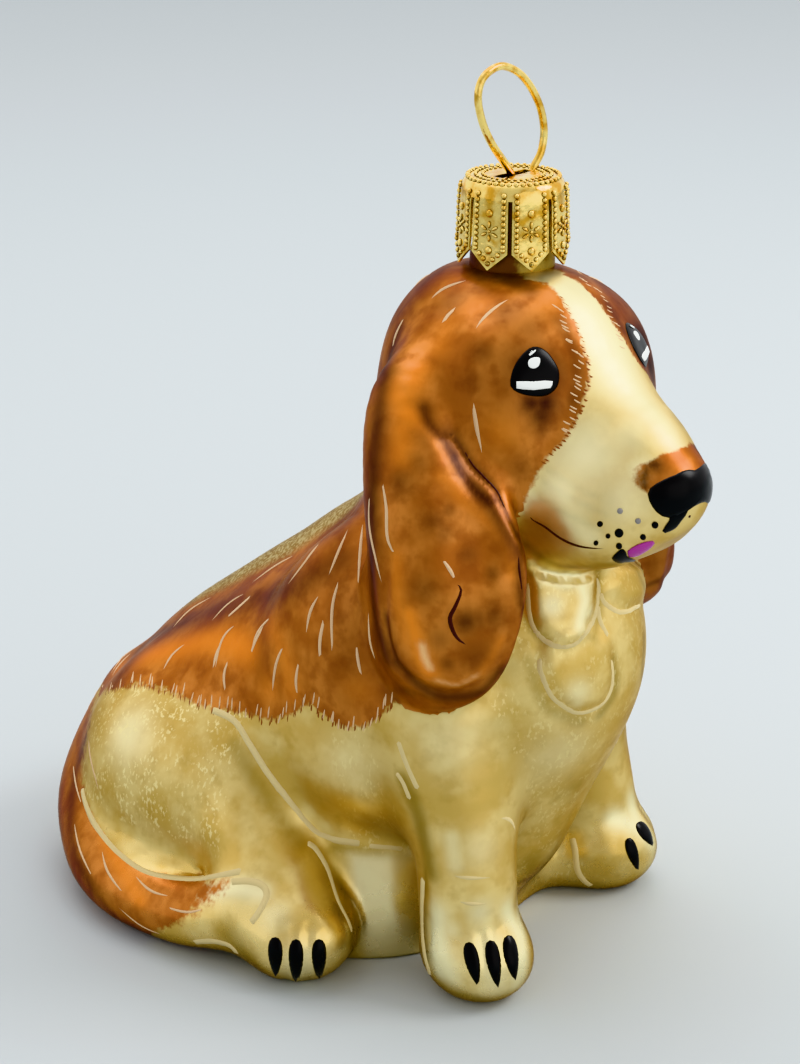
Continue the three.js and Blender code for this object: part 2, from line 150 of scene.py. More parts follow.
back = np.array([
    math.sin(CAMERA_TURN) * math.cos(CAMERA_RISE),
    -math.cos(CAMERA_TURN) * math.cos(CAMERA_RISE),
    math.sin(CAMERA_RISE),
])
right = np.array([math.cos(CAMERA_TURN), math.sin(CAMERA_TURN), 0.0])
up = np.cross(back, right)
eye = CAMERA_AIM + back * CAMERA_DISTANCE

camera_data = bpy.data.cameras.new("camera")
camera = bpy.data.objects.new("camera", camera_data)
bpy.context.scene.collection.objects.link(camera)
bpy.context.scene.camera = camera
camera_data.sensor_width = SENSOR
camera_data.lens = SENSOR * FOCAL_PIXELS / PHOTO_HEIGHT
camera_data.clip_start, camera_data.clip_end = 0.01, 20.0
camera.matrix_world = Matrix.Translation(Vector((eye + SHIFT) * MM)) @ Matrix(
    [right, up, back]).transposed().to_4x4()


def photo_place(points):
    """Where points on the drawing show in the photograph, in its pixels."""
    offset = np.asarray(points) - eye
    depth = -(offset @ back)
    across = PHOTO_WIDTH / 2 + FOCAL_PIXELS * (offset @ right) / depth
    down = PHOTO_HEIGHT / 2 - FOCAL_PIXELS * (offset @ up) / depth
    return np.stack([across, down], -1)


def sight_line(pixel):
    """The direction in which the camera sees a pixel of the photograph."""
    across = (pixel[0] - PHOTO_WIDTH / 2) / FOCAL_PIXELS
    rise = (PHOTO_HEIGHT / 2 - pixel[1]) / FOCAL_PIXELS
    line = across * right + rise * up - back
    return line / np.linalg.norm(line)


# %% [markdown]
# The glass was blown into a mould, so every form on it is round and runs softly into the next. A modeller
# could push one sphere about with a brush, but a script does better with a heap of clay pellets: each muscle
# is an ellipsoid and each long form is a cord, and a distance rule says how wide the fillet between two of
# them is. The same rule tells later where the creases are.

# %% Distance rules
HEAD_TURN = math.radians(-10)
HEAD_PIVOT = np.array([0.0, -8.0, 0.0])
CROWN_LEVEL = 82.25
CROWN_ROUNDING, FLOOR_ROUNDING = 1.2, 0.8


def turn_matrix(x, y, z):
    """Turns about X, then Y, then Z, in degrees."""
    return np.array((
        Matrix.Rotation(math.radians(z), 3, "Z")
        @ Matrix.Rotation(math.radians(y), 3, "Y")
        @ Matrix.Rotation(math.radians(x), 3, "X")))


NECK_TURN = turn_matrix(0, 0, math.degrees(HEAD_TURN))


def into_head(points):
    return (points - HEAD_PIVOT) @ NECK_TURN + HEAD_PIVOT


def out_of_head(points):
    return (points - HEAD_PIVOT) @ NECK_TURN.T + HEAD_PIVOT


def smooth_min(a, b, blend):
    if blend == 0:
        return np.minimum(a, b)
    overlap = np.maximum(blend - np.abs(a - b), 0) / blend
    return np.minimum(a, b) - overlap * overlap * blend * 0.25


def smooth_max(a, b, blend):
    return -smooth_min(-a, -b, blend)


def smooth_step(value, low, high):
    t = np.clip((value - low) / (high - low), 0, 1)
    return t * t * (3 - 2 * t)


def smooth_path(stations, steps):
    """A Catmull-Rom path through rows of numbers, whatever they stand for."""
    rows = np.array(stations, float)
    ends = np.vstack([2 * rows[0] - rows[1], rows, 2 * rows[-1] - rows[-2]])
    out = []
    for p0, p1, p2, p3 in zip(ends, ends[1:], ends[2:], ends[3:]):
        for t in np.arange(steps) / steps:
            out.append(0.5 * (2 * p1 + (p2 - p0) * t + (2 * p0 - 5 * p1 + 4 * p2 - p3) * t ** 2
                              + (3 * p1 - p0 - 3 * p2 + p3) * t ** 3))
    return np.array([*out, rows[-1]])


# %% [markdown]
# Each pellet remembers where it is, how far it reaches and how softly it joins the rest. Points that lie
# well away from a pellet skip it, which keeps the drawing of the skin quick.

# %% Pellets: ellipsoids and cords
class Ellipsoid:
    def __init__(self, centre, radii, blend, turn=(0, 0, 0)):
        self.centre = np.array(centre, float)
        self.radii = np.array(radii, float)
        self.blend = blend
        self.reach = max(radii)
        self.spin = turn_matrix(*turn)

    def distance(self, points):
        local = (points - self.centre) @ self.spin
        size = np.linalg.norm(local / self.radii, axis=-1)
        slope = np.linalg.norm(local / self.radii ** 2, axis=-1) + 1e-9
        return size * (size - 1) / slope

    def balls(self):
        return [(self.centre, self.radii, self.spin)]


class Cord:
    def __init__(self, stations, blend, steps=5):
        self.beads = smooth_path(stations, steps)
        self.centre = self.beads[:, :3].mean(0)
        self.reach = np.linalg.norm(self.beads[:, :3] - self.centre, axis=1).max() + self.beads[:, 3].max()
        self.blend = blend

    def distance(self, points):
        nearest = np.full(points.shape[:-1], np.inf)
        for a, b in zip(self.beads, self.beads[1:]):
            along = b[:3] - a[:3]
            t = np.clip((points - a[:3]) @ along / (along @ along), 0, 1)
            gap = np.linalg.norm(points - a[:3] - t[..., None] * along, axis=-1)
            nearest = np.minimum(nearest, gap - (a[3] + (b[3] - a[3]) * t))
        return nearest

    def balls(self):
        return [(bead[:3], np.full(3, bead[3]), np.eye(3)) for bead in self.beads[::2]]


# %% [markdown]
# Here is the hound in pellets, in millimetres. The left foreleg stands a little further in and back than the
# right one, the left ear hangs a little further back, and the tail comes round the right hip.

# %% The body in pellets
LEFT_LEG_IN, LEFT_LEG_BACK = 1.2, 1.2


def hind_leg(side):
    return [
        Ellipsoid((side * 12, 26, 13.5), (10, 11.5, 13.5), 5),
        Ellipsoid((side * 17.5, 16, 15), (8, 15.5, 12), 4),
        Cord([(side * 20, 7, 13, 6.5), (side * 22.5, 1, 8, 6), (side * 24, -1.5, 5, 5.6)], 3),
        Ellipsoid((side * 24.6, -1.4, 5), (6.4, 7.2, 5.4), 2.5),
    ]


def fore_leg(side):
    def at(x, y, z, share, *radius):
        if side < 0:
            return (-x, y, z, *radius)
        return (x - share * LEFT_LEG_IN, y + share * LEFT_LEG_BACK, z, *radius)

    return [
        Cord([at(14.6, -15.6, 32, 1.5, 7.3), at(15.8, -19.2, 19, 1.6, 6), at(16.6, -20.6, 6.5, 1, 5.6)], 4.5),
        Ellipsoid(at(16.8, -22.3, 4.6, 1), (5.9, 6.3, 5.3), 2.5),
    ]


def flank(side):
    return [
        Ellipsoid((side * 13.4, -5.2, 37), (7.9, 12.2, 14.6), 6),
        Cord([(side * 11.3, -13, 25, 8.8), (side * 11.8, -4, 24.6, 9), (side * 11.3, 6, 25, 8.6)], 4),
    ]


TRUNK = [
    Ellipsoid((0, 11.8, 25.5), (19.5, 39.6, 15.3), 0, (-38, 0, 0)),
    Ellipsoid((0, 19.8, 13), (21.8, 19.6, 17), 8),
    Ellipsoid((-0.6, -13, 36.8), (16.7, 19, 20.2), 8),
    Ellipsoid((-0.5, -11.5, 22), (11.5, 13.5, 19.5), 7),
    Ellipsoid((-0.5, -0.5, 0), (20.6, 15.8, 34), 4),
    Ellipsoid((0, -13.4, 56), (14.2, 14.2, 18), 6),
    Cord([(1, -8, 3, 6), (8, -13.5, 3.5, 4.2), (13.6, -19.6, 3.5, 4)], 3),
    Cord([(0, -3, 48.6, 5), (0, 5, 44.8, 4.7), (0, 12, 39.9, 4.2), (0, 20, 34.3, 3.9), (0, 28, 28.4, 3.5),
          (0, 36, 20.5, 3)], 4),
    *[pellet for side in (-1, 1) for pellet in flank(side)],
]
HIND_LEGS = [pellet for side in (-1, 1) for pellet in hind_leg(side)]
FORE_LEGS = [pellet for side in (-1, 1) for pellet in fore_leg(side)]
LEGS = [pellet for side in (-1, 1) for pellet in (*hind_leg(side), *fore_leg(side))]
TAIL = [Cord([
    (-4, 37.6, 17, 4.9), (-13, 37.9, 8.6, 4.7), (-20.7, 31.6, 5.2, 4.5), (-25.6, 24, 4.3, 4.2),
    (-27.3, 15, 4.1, 3.9), (-27.4, 8.5, 5, 3.7), (-26.4, 5.5, 7, 3.2),
], 5)]
BODY = [*TRUNK, *LEGS, *TAIL]
print(len(BODY), "pellets in the body")

# %% The head in pellets
LEFT_EAR_BACK = 4.2


def ear(side):
    rearward = 0 if side < 0 else LEFT_EAR_BACK
    return [
        Cord([
            (side * 10, -14.5, 73, 4),
            (side * 14.5, -15 + rearward * 0.2, 69, 5.2),
            (side * 17, -17.9 + rearward * 0.5, 62, 6.2),
            (side * 17.8, -20.9 + rearward, 53, 7.1),
            (side * 17.6, -22 + rearward, 45, 6.9),
        ], 2.5),
        Ellipsoid((side * 17, -21.6 + rearward, 50.5), (3.8, 10.2, 13.8), 3, (4, side * -9, side * -8)),
    ]


EARS = [pellet for side in (-1, 1) for pellet in ear(side)]
SKULL = [
    Ellipsoid((0, -15, 67.5), (14, 14.3, 14.3), 5),
    Ellipsoid((0, -14, 73.3), (10.5, 10.5, 8.5), 5),
    Ellipsoid((0, -21, 72), (9.5, 8.5, 9), 5),
    Cord([(0, -26, 66, 8.5), (0, -33, 63, 7.4), (0, -37.4, 61, 5.4)], 5),
    *[pellet for side in (-1, 1) for pellet in (
        Ellipsoid((side * 4.6, -31, 59), (5.6, 8, 6.2), 4, (20, side * 8, 0)),
        Ellipsoid((side * 9, -20, 65), (6, 8, 9), 4),
        Ellipsoid((side * 8.3, -20, 71.5), (5.4, 6.8, 6.8), 4),
    )],
    Ellipsoid((0, -28, 54.6), (7.5, 9, 4.1), 3, (-12, 0, 0)),
    Ellipsoid((0, -39, 62), (4.6, 3.6, 3.8), 1.5),
]
print(len(SKULL), "pellets in the skull,", len(EARS), "in the ears")


# %% Distance to the whole glass
FAR_AWAY = 50.0
SKIP_MARGIN = 3
PROBE = 0.05
LEAST_SLOPE = 0.25
LONGEST_DRAW = 0.6


def gather(depth, pellets, points):
    for pellet in pellets:
        near = np.linalg.norm(points - pellet.centre, axis=-1) < pellet.reach + pellet.blend + SKIP_MARGIN
        depth[near] = smooth_min(depth[near], pellet.distance(points[near]), pellet.blend)
    return depth


def glass_distance(points):
    depth = gather(np.full(len(points), FAR_AWAY), BODY, points)
    depth = gather(depth, [*SKULL, *EARS], into_head(points))
    depth = smooth_max(depth, points[:, 2] - CROWN_LEVEL, CROWN_ROUNDING)
    return smooth_max(depth, -points[:, 2], FLOOR_ROUNDING)


def draw_onto_glass(points, passes):
    for _ in range(passes):
        depth = glass_distance(points)
        slope = np.stack([
            (glass_distance(points + PROBE * np.eye(3)[axis]) - depth) / PROBE for axis in range(3)], -1)
        steep = np.maximum((slope ** 2).sum(-1), LEAST_SLOPE)
        step = np.clip(depth / steep, -LONGEST_DRAW, LONGEST_DRAW)
        points = points - step[:, None] * slope
    return points


# %% [markdown]
# In Blender the pellets are real spheres, added with the sphere operator and squeezed to size. Joined and
# remeshed by voxels they become one closed skin, cut level at the floor and at the crown, whose points are
# then drawn onto the filleted surface. A second, finer remesh evens the faces out.

# %% Clay skin from pellets
ROUGH_VOXEL = 1.0
FINE_VOXEL = 0.53


def add_balls(pellets, in_head):
    made = []
    for pellet in pellets:
        for centre, radii, spin in pellet.balls():
            if in_head:
                centre = out_of_head(centre)
                spin = NECK_TURN @ spin
            bpy.ops.mesh.primitive_ico_sphere_add(subdivisions=3, radius=1)
            ball = bpy.context.object
            ball.matrix_world = (
                Matrix.Translation(Vector(centre)) @ Matrix(spin).to_4x4()
                @ Matrix.Diagonal((*radii, 1)))
            made.append(ball)
    return made


def remesh(piece, voxel):
    only(piece)
    piece.data.remesh_voxel_size = voxel
    bpy.ops.object.voxel_remesh()


def cut_level(piece, height, keep_below):
    open_for_editing(piece)
    bpy.ops.mesh.bisect(
        plane_co=(0, 0, height), plane_no=(0, 0, 1), use_fill=True,
        clear_outer=keep_below, clear_inner=not keep_below)
    bpy.ops.object.mode_set(mode="OBJECT")


glass = join(add_balls(BODY, False) + add_balls([*SKULL, *EARS], True), "glass_hound")
remesh(glass, ROUGH_VOXEL)
cut_level(glass, 0, False)
cut_level(glass, CROWN_LEVEL, True)
remesh(glass, ROUGH_VOXEL)
place_points(glass, draw_onto_glass(points_of(glass), 5))
apply_modifier(glass, "SMOOTH", iterations=2)
remesh(glass, FINE_VOXEL)
place_points(glass, draw_onto_glass(points_of(glass), 3))
apply_modifier(glass, "SMOOTH", iterations=2, factor=0.4)
bare_tree = tree_of(glass)
print("skin of", len(glass.data.vertices), "points")

# %% [markdown]
# Paint and fine relief are placed where the photograph shows them. A line of pixels is thrown from the camera
# onto the glass and becomes a line in space. The hound's left side isn't seen, so each point of the skin is
# compared with its twin on the right side: mirrored in the body's middle plane, or in the head's.

# %% Twins on the right side
points = points_of(glass)
in_head = into_head(points)
group_gaps = {
    name: np.min([pellet.distance(source) for pellet in pellets], axis=0)
    for name, pellets, source in (
        ("trunk", TRUNK, points), ("hind", HIND_LEGS, points), ("fore", FORE_LEGS, points),
        ("tail", TAIL, points), ("skull", SKULL, in_head), ("ears", EARS, in_head))
}
groups = list(group_gaps)
nearest_group = np.argmin([group_gaps[name] for name in groups], axis=0)


def belongs(*names):
    return np.isin(nearest_group, [groups.index(name) for name in names])


def nearer(part, than, width=2):
    """From 0 to 1 across the seam where one group of pellets takes over from another."""
    return smooth_step(group_gaps[than] - group_gaps[part], -width, width)


def fold(places, on_head, ear_share, leg_share):
    """Moves points of the left side to their twins on the right side."""
    turned = into_head(places)
    left = turned[:, 0] > 0
    twin = turned.copy()
    twin[left, 0] *= -1
    twin[left, 1] -= LEFT_EAR_BACK * ear_share[left]
    head_twin = out_of_head(twin)
    body_twin = places.copy()
    left = places[:, 0] > 0
    body_twin[left, 0] *= -1
    body_twin[left, 0] -= LEFT_LEG_IN * leg_share[left]
    body_twin[left, 1] -= LEFT_LEG_BACK * leg_share[left]
    return np.where(on_head[:, None], head_twin, body_twin)


on_head = belongs("skull", "ears")
on_ear = belongs("ears")
twins = fold(points, on_head, nearer("ears", "skull"), nearer("fore", "trunk"))
twin_pixels = photo_place(twins)
own_pixels = photo_place(points)
print({name: int(belongs(name).sum()) for name in groups})


# %% Throwing pixels onto the glass
NEAREST_SIGHT, FARTHEST_SIGHT = 250.0, 350.0
GRAZE = 1.5
LINE_REACH = 8
BEYOND_REACH = 99.0


def throw(pixels, tree):
    """Hits of the camera's sight lines on the glass, with the glass's outward direction there.

    A line that passes just outside the glass settles on the glass that it grazes.
    """
    hits, normals = [], []
    for pixel in pixels:
        line = Vector(sight_line(pixel))
        hit, normal, _, _ = tree.ray_cast(Vector(eye), line)
        if hit is None:
            beside = [tree.find_nearest(Vector(eye) + line * depth)
                      for depth in np.arange(NEAREST_SIGHT, FARTHEST_SIGHT, 1.0)]
            hit, normal, _, gap = min(beside, key=lambda found: found[3])
            if gap > GRAZE:
                continue
        hits.append(hit)
        normals.append(normal)
    return np.array(hits).reshape(-1, 3), np.array(normals).reshape(-1, 3)


def line_on_glass(pixels, steps=4):
    return throw(smooth_path(pixels, steps) if len(pixels) > 2 else np.linspace(*pixels, steps + 1),
                 bare_tree)[0]


def distance_to_line(places, line):
    nearest = np.full(len(places), BEYOND_REACH)
    middle = line.mean(0)
    reach = np.linalg.norm(line - middle, axis=1).max() + LINE_REACH
    near = np.linalg.norm(places - middle, axis=1) < reach
    close = places[near]
    best = np.full(len(close), BEYOND_REACH)
    for a, b in zip(line, line[1:]):
        along = b - a
        t = np.clip((close - a) @ along / (along @ along + 1e-9), 0, 1)
        best = np.minimum(best, np.linalg.norm(close - a - t[:, None] * along, axis=1))
    nearest[near] = best
    return nearest


def ridge(pixels, width, where=None):
    """One along a line of pixels, falling to nothing over a width in millimetres."""
    strength = np.exp(-(distance_to_line(twins, line_on_glass(pixels)) / width) ** 2)
    return strength if where is None else strength * where


def spot(pixel, radius, where=None):
    hit, _ = throw([pixel], bare_tree)
    strength = np.exp(-(np.linalg.norm(twins - hit[0], axis=1) / radius) ** 2)
    return strength if where is None else strength * where


def depth_inside(pixels, outline):
    """How many pixels each point lies inside a closed outline, negative outside it."""
    corners = np.array(outline, float)
    inside = np.zeros(len(pixels), bool)
    nearest = np.full(len(pixels), 1e9)
    for a, b in zip(corners, np.roll(corners, -1, 0)):
        crosses = (a[1] > pixels[:, 1]) != (b[1] > pixels[:, 1])
        slant = (b[0] - a[0]) * (pixels[:, 1] - a[1]) / (b[1] - a[1] + 1e-9) + a[0]
        inside ^= crosses & (pixels[:, 0] < slant)
        along = b - a
        t = np.clip((pixels - a) @ along / (along @ along), 0, 1)
        nearest = np.minimum(nearest, np.linalg.norm(pixels - a - t[:, None] * along, axis=1))
    return np.where(inside, nearest, -nearest)


# %% [markdown]
# The mould gave the ears a rolled front edge and a rim round the bottom, the throat its hanging folds, and
# the paws their toes. These are pressed into the skin along its normals. The folds of the throat are placed
# by the picture alone, so they are kept to points that face the camera, or they would swell the far flank.

# %% Relief
EAR_FOLD = [(424, 408), (430, 424), (443, 438), (454, 455), (463, 473), (474, 489), (490, 502)]
EAR_FRONT = [(453, 435), (463, 449), (472, 464), (485, 478), (497, 491), (503, 504), (512, 522), (521, 538)]
EAR_DIP = [(423, 429), (434, 451), (448, 473), (463, 491), (477, 509)]
EAR_ROLL = [(439, 475), (452, 489), (468, 507), (488, 522), (499, 535), (508, 549), (513, 575)]
EAR_RIM = [(386, 560), (384, 620), (391, 655), (399, 669), (412, 680), (432, 692), (452, 696), (472, 690),
           (494, 676), (508, 650), (514, 610), (513, 575)]
LOBE_NEAR = [(527, 562), (531, 612), (541, 632), (562, 641), (580, 632), (590, 608), (592, 566)]
LOBE_LOW = [(545, 640), (544, 670), (557, 696), (579, 707), (600, 700), (609, 674), (608, 642), (590, 626),
            (565, 632)]
LOBE_FAR = [(606, 566), (606, 590), (622, 603), (638, 600), (643, 588), (638, 566)]
TOE_GROOVES = {
    "hind": [[(286, 925), (286, 985)], [(308, 925), (308, 985)]],
    "fore": [[(481, 935), (488, 985)], [(498, 930), (506, 985)]],
}
TOE_GROOVE_DEPTH, TOE_GROOVE_WIDTH = 0.3, 0.6
EAR_RELIEF = ((EAR_FOLD, -0.2, 1.3), (EAR_FRONT, -0.35, 0.7), (EAR_ROLL, 0.2, 2.2), (EAR_RIM, -0.4, 0.9))
LOBE_RELIEF = ((LOBE_NEAR, 1.3), (LOBE_LOW, 0.8), (LOBE_FAR, 1.1))
LOBE_SOFTNESS = 8
# Where the throat begins, in millimetres forward, and how squarely a point has to face the camera.
THROAT_FORWARD = (8, 12)
TOWARDS_CAMERA = (-0.1, 0.15)

normals = normals_of(glass)
front = (belongs("trunk") * smooth_step(-points[:, 1], *THROAT_FORWARD)
         * smooth_step(normals @ back, *TOWARDS_CAMERA))
relief = np.zeros(len(points))
for line, height, width in EAR_RELIEF:
    relief += height * ridge(line, width, on_head)
for outline, height in LOBE_RELIEF:
    relief += height * smooth_step(depth_inside(own_pixels, outline), -LOBE_SOFTNESS, LOBE_SOFTNESS) * front
for part, grooves in TOE_GROOVES.items():
    for groove in grooves:
        relief -= TOE_GROOVE_DEPTH * ridge(groove, TOE_GROOVE_WIDTH, belongs(part))
print("relief from", relief.min().round(2), "to", relief.max().round(2), "mm")

place_points(glass, points + relief[:, None] * normals)
apply_modifier(glass, "SMOOTH", iterations=2, factor=0.5)
glass_tree = tree_of(glass)

# %% [markdown]
# Clear brown lacquer covers the back, the ears and most of the head. Its edges on the head are best told by
# the direction from the middle of the head: for each height the blaze ends at one turn to the side. How many
# millimetres a point lies inside the brown is kept for a narrow band on both sides of the edge, so that the
# shader can fray the edge by itself.

# %% Where the brown lacquer lies
HEAD_MIDDLE = np.array([0.0, -15.0, 66.0])
BLAZE_EDGE = [(527, 280), (545, 283), (560, 297), (570, 312), (580, 333), (586, 355), (590, 373),
              (586, 390), (582, 408), (572, 428), (558, 447), (543, 465), (533, 482), (524, 500),
              (519, 515)]
CAPE_EDGE = [(86, 705), (105, 690), (137, 684), (166, 690), (190, 700), (210, 708), (241, 712), (270, 720),
             (294, 713), (309, 703), (321, 713), (343, 727), (362, 727), (380, 717), (395, 700)]
# The cape's edge goes on to this place behind the tail, and the blaze's edge to this rise and turn.
CAPE_END = (40, 8)
BELOW_BLAZE = (-60, 100)
THROAT_START, THROAT_LEAN, THROAT_LEVEL = 17, 0.1, 40
MOUTH_TOP, MOUTH_BACK, NOSE_BACK = 59, -27, -36
# This many millimetres from the edge the lacquer is wholly brown or wholly bare.
WELL_INSIDE = 3
REAR_START = -2
TAIL_BACK_TIP = 9
TAIL_BROWN = [(40, 640), (102, 668), (98, 690), (92, 708), (86, 740), (81, 776), (87, 805), (100, 832),
              (122, 856), (150, 873), (190, 879), (228, 883), (218, 894), (204, 902), (194, 912),
              (180, 922), (160, 930), (140, 940), (90, 950), (40, 900)]
TAIL_TOP, RUMP_TOP = 20, 31
SPINE_EDGE = [(-1, -12), (2.5, -6), (4.8, 0), (5.8, 6), (6, 12), (5.8, 16), (5.2, 21), (4, 27), (2.5, 32),
              (-1, 36)]
LEFT_BLAZE_IN = 0.2
TAIL_SOFTNESS, RUMP_SOFTNESS = 0.4, 1.2
SOFT_FROM = (150, 195)
BROWN_BAND = 6
NOSE_PATCH = ((0, 63.9), (5.7, 2.6))


def turn_and_rise(places):
    offset = into_head(places) - HEAD_MIDDLE
    turn = np.degrees(np.arctan2(np.abs(offset[:, 0]), -offset[:, 1]))
    rise = np.degrees(np.arctan2(offset[:, 2], np.hypot(offset[:, 0], offset[:, 1])))
    return turn, rise


def brown_band(depth):
    """Turns millimetres inside the brown into the mask that the shader reads, one half at the edge."""
    return depth / BROWN_BAND + 0.5


edge_turn, edge_rise = turn_and_rise(line_on_glass(BLAZE_EDGE, 3))
order = np.argsort(edge_rise)
turn, rise = turn_and_rise(points)
low_rise, low_turn = BELOW_BLAZE
blaze_turn = np.interp(rise, [low_rise, *edge_rise[order]], [low_turn, *edge_turn[order]])
radius = np.linalg.norm(in_head - HEAD_MIDDLE, axis=1)
past_blaze = np.radians(turn - blaze_turn) * radius * np.cos(np.radians(rise))

cape = throw(CAPE_EDGE, bare_tree)[0]
order = np.argsort(cape[:, 1])
cape_y, cape_z = np.array([*cape[order, 1:], CAPE_END]).T
above_cape = points[:, 2] - np.interp(points[:, 1], cape_y, cape_z)
behind_throat = points[:, 1] + THROAT_START - THROAT_LEAN * (points[:, 2] - THROAT_LEVEL)
on_back = np.minimum(above_cape, behind_throat)
past_blaze += LEFT_BLAZE_IN * (in_head[:, 0] > 0)
mouth_side = (in_head[:, 2] < MOUTH_TOP) & (in_head[:, 1] < MOUTH_BACK)
patch_middle, patch_reach = np.array(NOSE_PATCH)
nose_patch = 6 * (1 - np.linalg.norm((in_head[:, [0, 2]] - patch_middle) / patch_reach, axis=1))
on_muzzle = np.where(in_head[:, 1] < NOSE_BACK, np.maximum(nose_patch, -WELL_INSIDE), -WELL_INSIDE)
inside_brown = np.where(mouth_side, -WELL_INSIDE, np.maximum(past_blaze, on_muzzle))
inside_brown = np.where(on_ear, WELL_INSIDE, np.where(on_head, inside_brown, on_back))
faces_camera = normals_of(glass) @ back > 0
on_tail = np.where(points[:, 2] > TAIL_TOP, WELL_INSIDE, TAIL_SOFTNESS * (points[:, 1] - TAIL_BACK_TIP))
seen_rear = faces_camera & (points[:, 0] < 0) & (points[:, 1] > REAR_START) & belongs("tail", "hind", "trunk")
softness = np.interp(own_pixels[:, 0], SOFT_FROM, (RUMP_SOFTNESS, TAIL_SOFTNESS))
tail_depth = depth_inside(own_pixels, TAIL_BROWN) * PHOTO_PIXEL * softness
inside_brown = np.where(belongs("tail"), on_tail, inside_brown)
inside_brown = np.where(
    seen_rear & (points[:, 2] < RUMP_TOP), np.maximum(inside_brown, tail_depth), inside_brown)
inside_brown = np.where(seen_rear & (points[:, 2] < TAIL_TOP), tail_depth, inside_brown)
print("brown share", (inside_brown > 0).mean().round(2))

# %% [markdown]
# Painted shade and painted highlights are kept as soft masks on the skin, beside some of the paint's own
# marks:
# deep red-brown painted shade in the folds, along the edges of the ears and on the head's top and far side,
# with the lacquer's own dark mottles and dark red-brown round the eyes; painted highlights of bright amber
# and a few near-white painted glints on the brown; olive painted shade in the creases between the limbs;
# silver where the lacquer ran thin over the mirror, with painted sheen; and cream where it was dabbed on,
# with cream painted highlights on the muzzle, paws, thigh and chest.

# %% Painted shading
# Deep red-brown: painted shade in the folds of the ears, in the crease between ears and skull, under the cap,
# on the top of the head and along edges turned from the light, beside the lacquer's own dark mottles and the
# dark red-brown round the eyes.
DARK_AND_SHADE_LINES = [
    (EAR_FOLD, 1.0, 0.85), (EAR_FOLD[3:], 1.2, 0.95), (EAR_FRONT, 0.6, 0.85), (EAR_DIP, 1.5, 0.3),
    ([(446, 436), (458, 458), (470, 478), (484, 494), (498, 514), (510, 538), (517, 552)], 1.3, 0.75),
    ([(400, 312), (430, 278), (462, 262), (500, 262)], 3.2, 0.5),
    ([(372, 480), (368, 560), (378, 640)], 2.0, 0.5),
    ([(345, 515), (340, 560), (345, 620), (352, 690)], 3.0, 0.3),
    ([(300, 530), (250, 560), (200, 592)], 2.0, 0.25),
    ([(521, 538), (519, 560), (521, 590), (524, 622)], 0.5, 0.7),
    ([(398, 330), (382, 390), (374, 460), (371, 540), (374, 610), (385, 655)], 1.7, 0.8),
    ([(385, 620), (392, 652), (412, 682), (444, 699), (482, 692), (508, 664)], 0.9, 0.75),
    ([(400, 312), (430, 278), (462, 264), (500, 272), (530, 290)], 1.6, 0.6),
    ([(562, 322), (572, 345), (578, 370), (574, 400)], 1.3, 0.55),
    ([(440, 700), (400, 690), (385, 712)], 0.8, 0.4),
    ([(342, 560), (300, 583), (250, 600), (200, 616), (150, 640), (118, 678)], 2.3, 0.55),
    ([(652, 462), (645, 476), (645, 488)], 0.5, 0.8),
    ([(118, 680), (92, 725), (74, 780), (72, 840), (92, 890)], 1.3, 0.6),
    ([(92, 890), (125, 925), (165, 940)], 1.1, 0.5),
]
DARK_AND_SHADE_SPOTS = [
    ((538, 372), 3.8, 0.95), ((532, 403), 1.8, 0.95), ((545, 403), 2.0, 1.0), ((541, 415), 1.8, 0.9),
    ((541, 426), 1.3, 0.6), ((533, 332), 2.2, 0.45), ((455, 300), 3.0, 0.5), ((505, 312), 2.5, 0.5),
    ((480, 292), 2.6, 0.45), ((470, 380), 2.2, 0.35), ((482, 352), 1.7, 0.5), ((434, 522), 1.5, 0.5),
    ((443, 533), 1.2, 0.45), ((449, 511), 0.9, 0.45), ((425, 590), 1.5, 0.4), ((440, 640), 1.2, 0.4),
    ((468, 555), 1.2, 0.5), ((492, 573), 0.8, 0.5), ((466, 622), 1.6, 0.8), ((494, 616), 1.6, 0.5),
    ((478, 620), 1.5, 0.5), ((448, 664), 0.9, 0.5), ((475, 655), 2.2, 0.4), ((399, 482), 1.6, 0.5),
    ((419, 462), 1.2, 0.4), ((395, 664), 1.2, 0.8), ((512, 270), 1.9, 0.9), ((655, 465), 0.9, 0.9),
    ((520, 470), 1.6, 0.3), ((392, 700), 1.6, 0.45),
]
# Olive: painted shade in the creases between the limbs, under the belly and round the throat's folds, with a
# few olive lines of paint on the muzzle.
OLIVE_AND_SHADE_LINES = [
    ([(235, 745), (258, 785), (280, 815), (302, 842)], 1.6, 0.6),
    ([(330, 850), (345, 900), (354, 955)], 1.2, 0.65),
    ([(403, 780), (414, 802), (424, 842), (430, 872)], 1.4, 0.85), ([(426, 870), (427, 960)], 0.6, 0.8),
    ([(335, 848), (405, 857)], 0.9, 0.7), ([(524, 880), (550, 872), (578, 862)], 1.2, 0.85),
    ([(548, 470), (575, 487), (612, 503)], 0.4, 0.3), ([(545, 484), (575, 500), (606, 514)], 0.4, 0.3),
    ([(541, 500), (570, 516), (601, 530)], 0.4, 0.3), ([(352, 900), (365, 960), (410, 962)], 1.0, 0.4),
    ([(375, 790), (402, 832)], 2.0, 0.35), ([(150, 884), (200, 890), (245, 893)], 0.9, 0.55),
    ([(228, 935), (258, 968), (290, 1000)], 1.8, 0.55), ([(530, 862), (545, 900), (560, 885)], 2.0, 0.6),
    ([(602, 785), (586, 830), (570, 860)], 1.4, 0.6), ([(640, 625), (640, 700), (618, 752)], 1.8, 0.5),
    ([(432, 985), (485, 1000), (522, 985)], 1.3, 0.5), ([(528, 660), (545, 705), (580, 722)], 1.0, 0.5),
    ([(612, 660), (615, 690), (600, 715)], 0.8, 0.6), ([(526, 565), (530, 620), (545, 640)], 0.7, 0.6),
    ([(598, 570), (600, 610), (590, 635)], 0.7, 0.6), ([(525, 545), (560, 566), (610, 565)], 1.0, 0.6),
    ([(80, 780), (90, 815), (120, 860)], 1.0, 0.5),
]
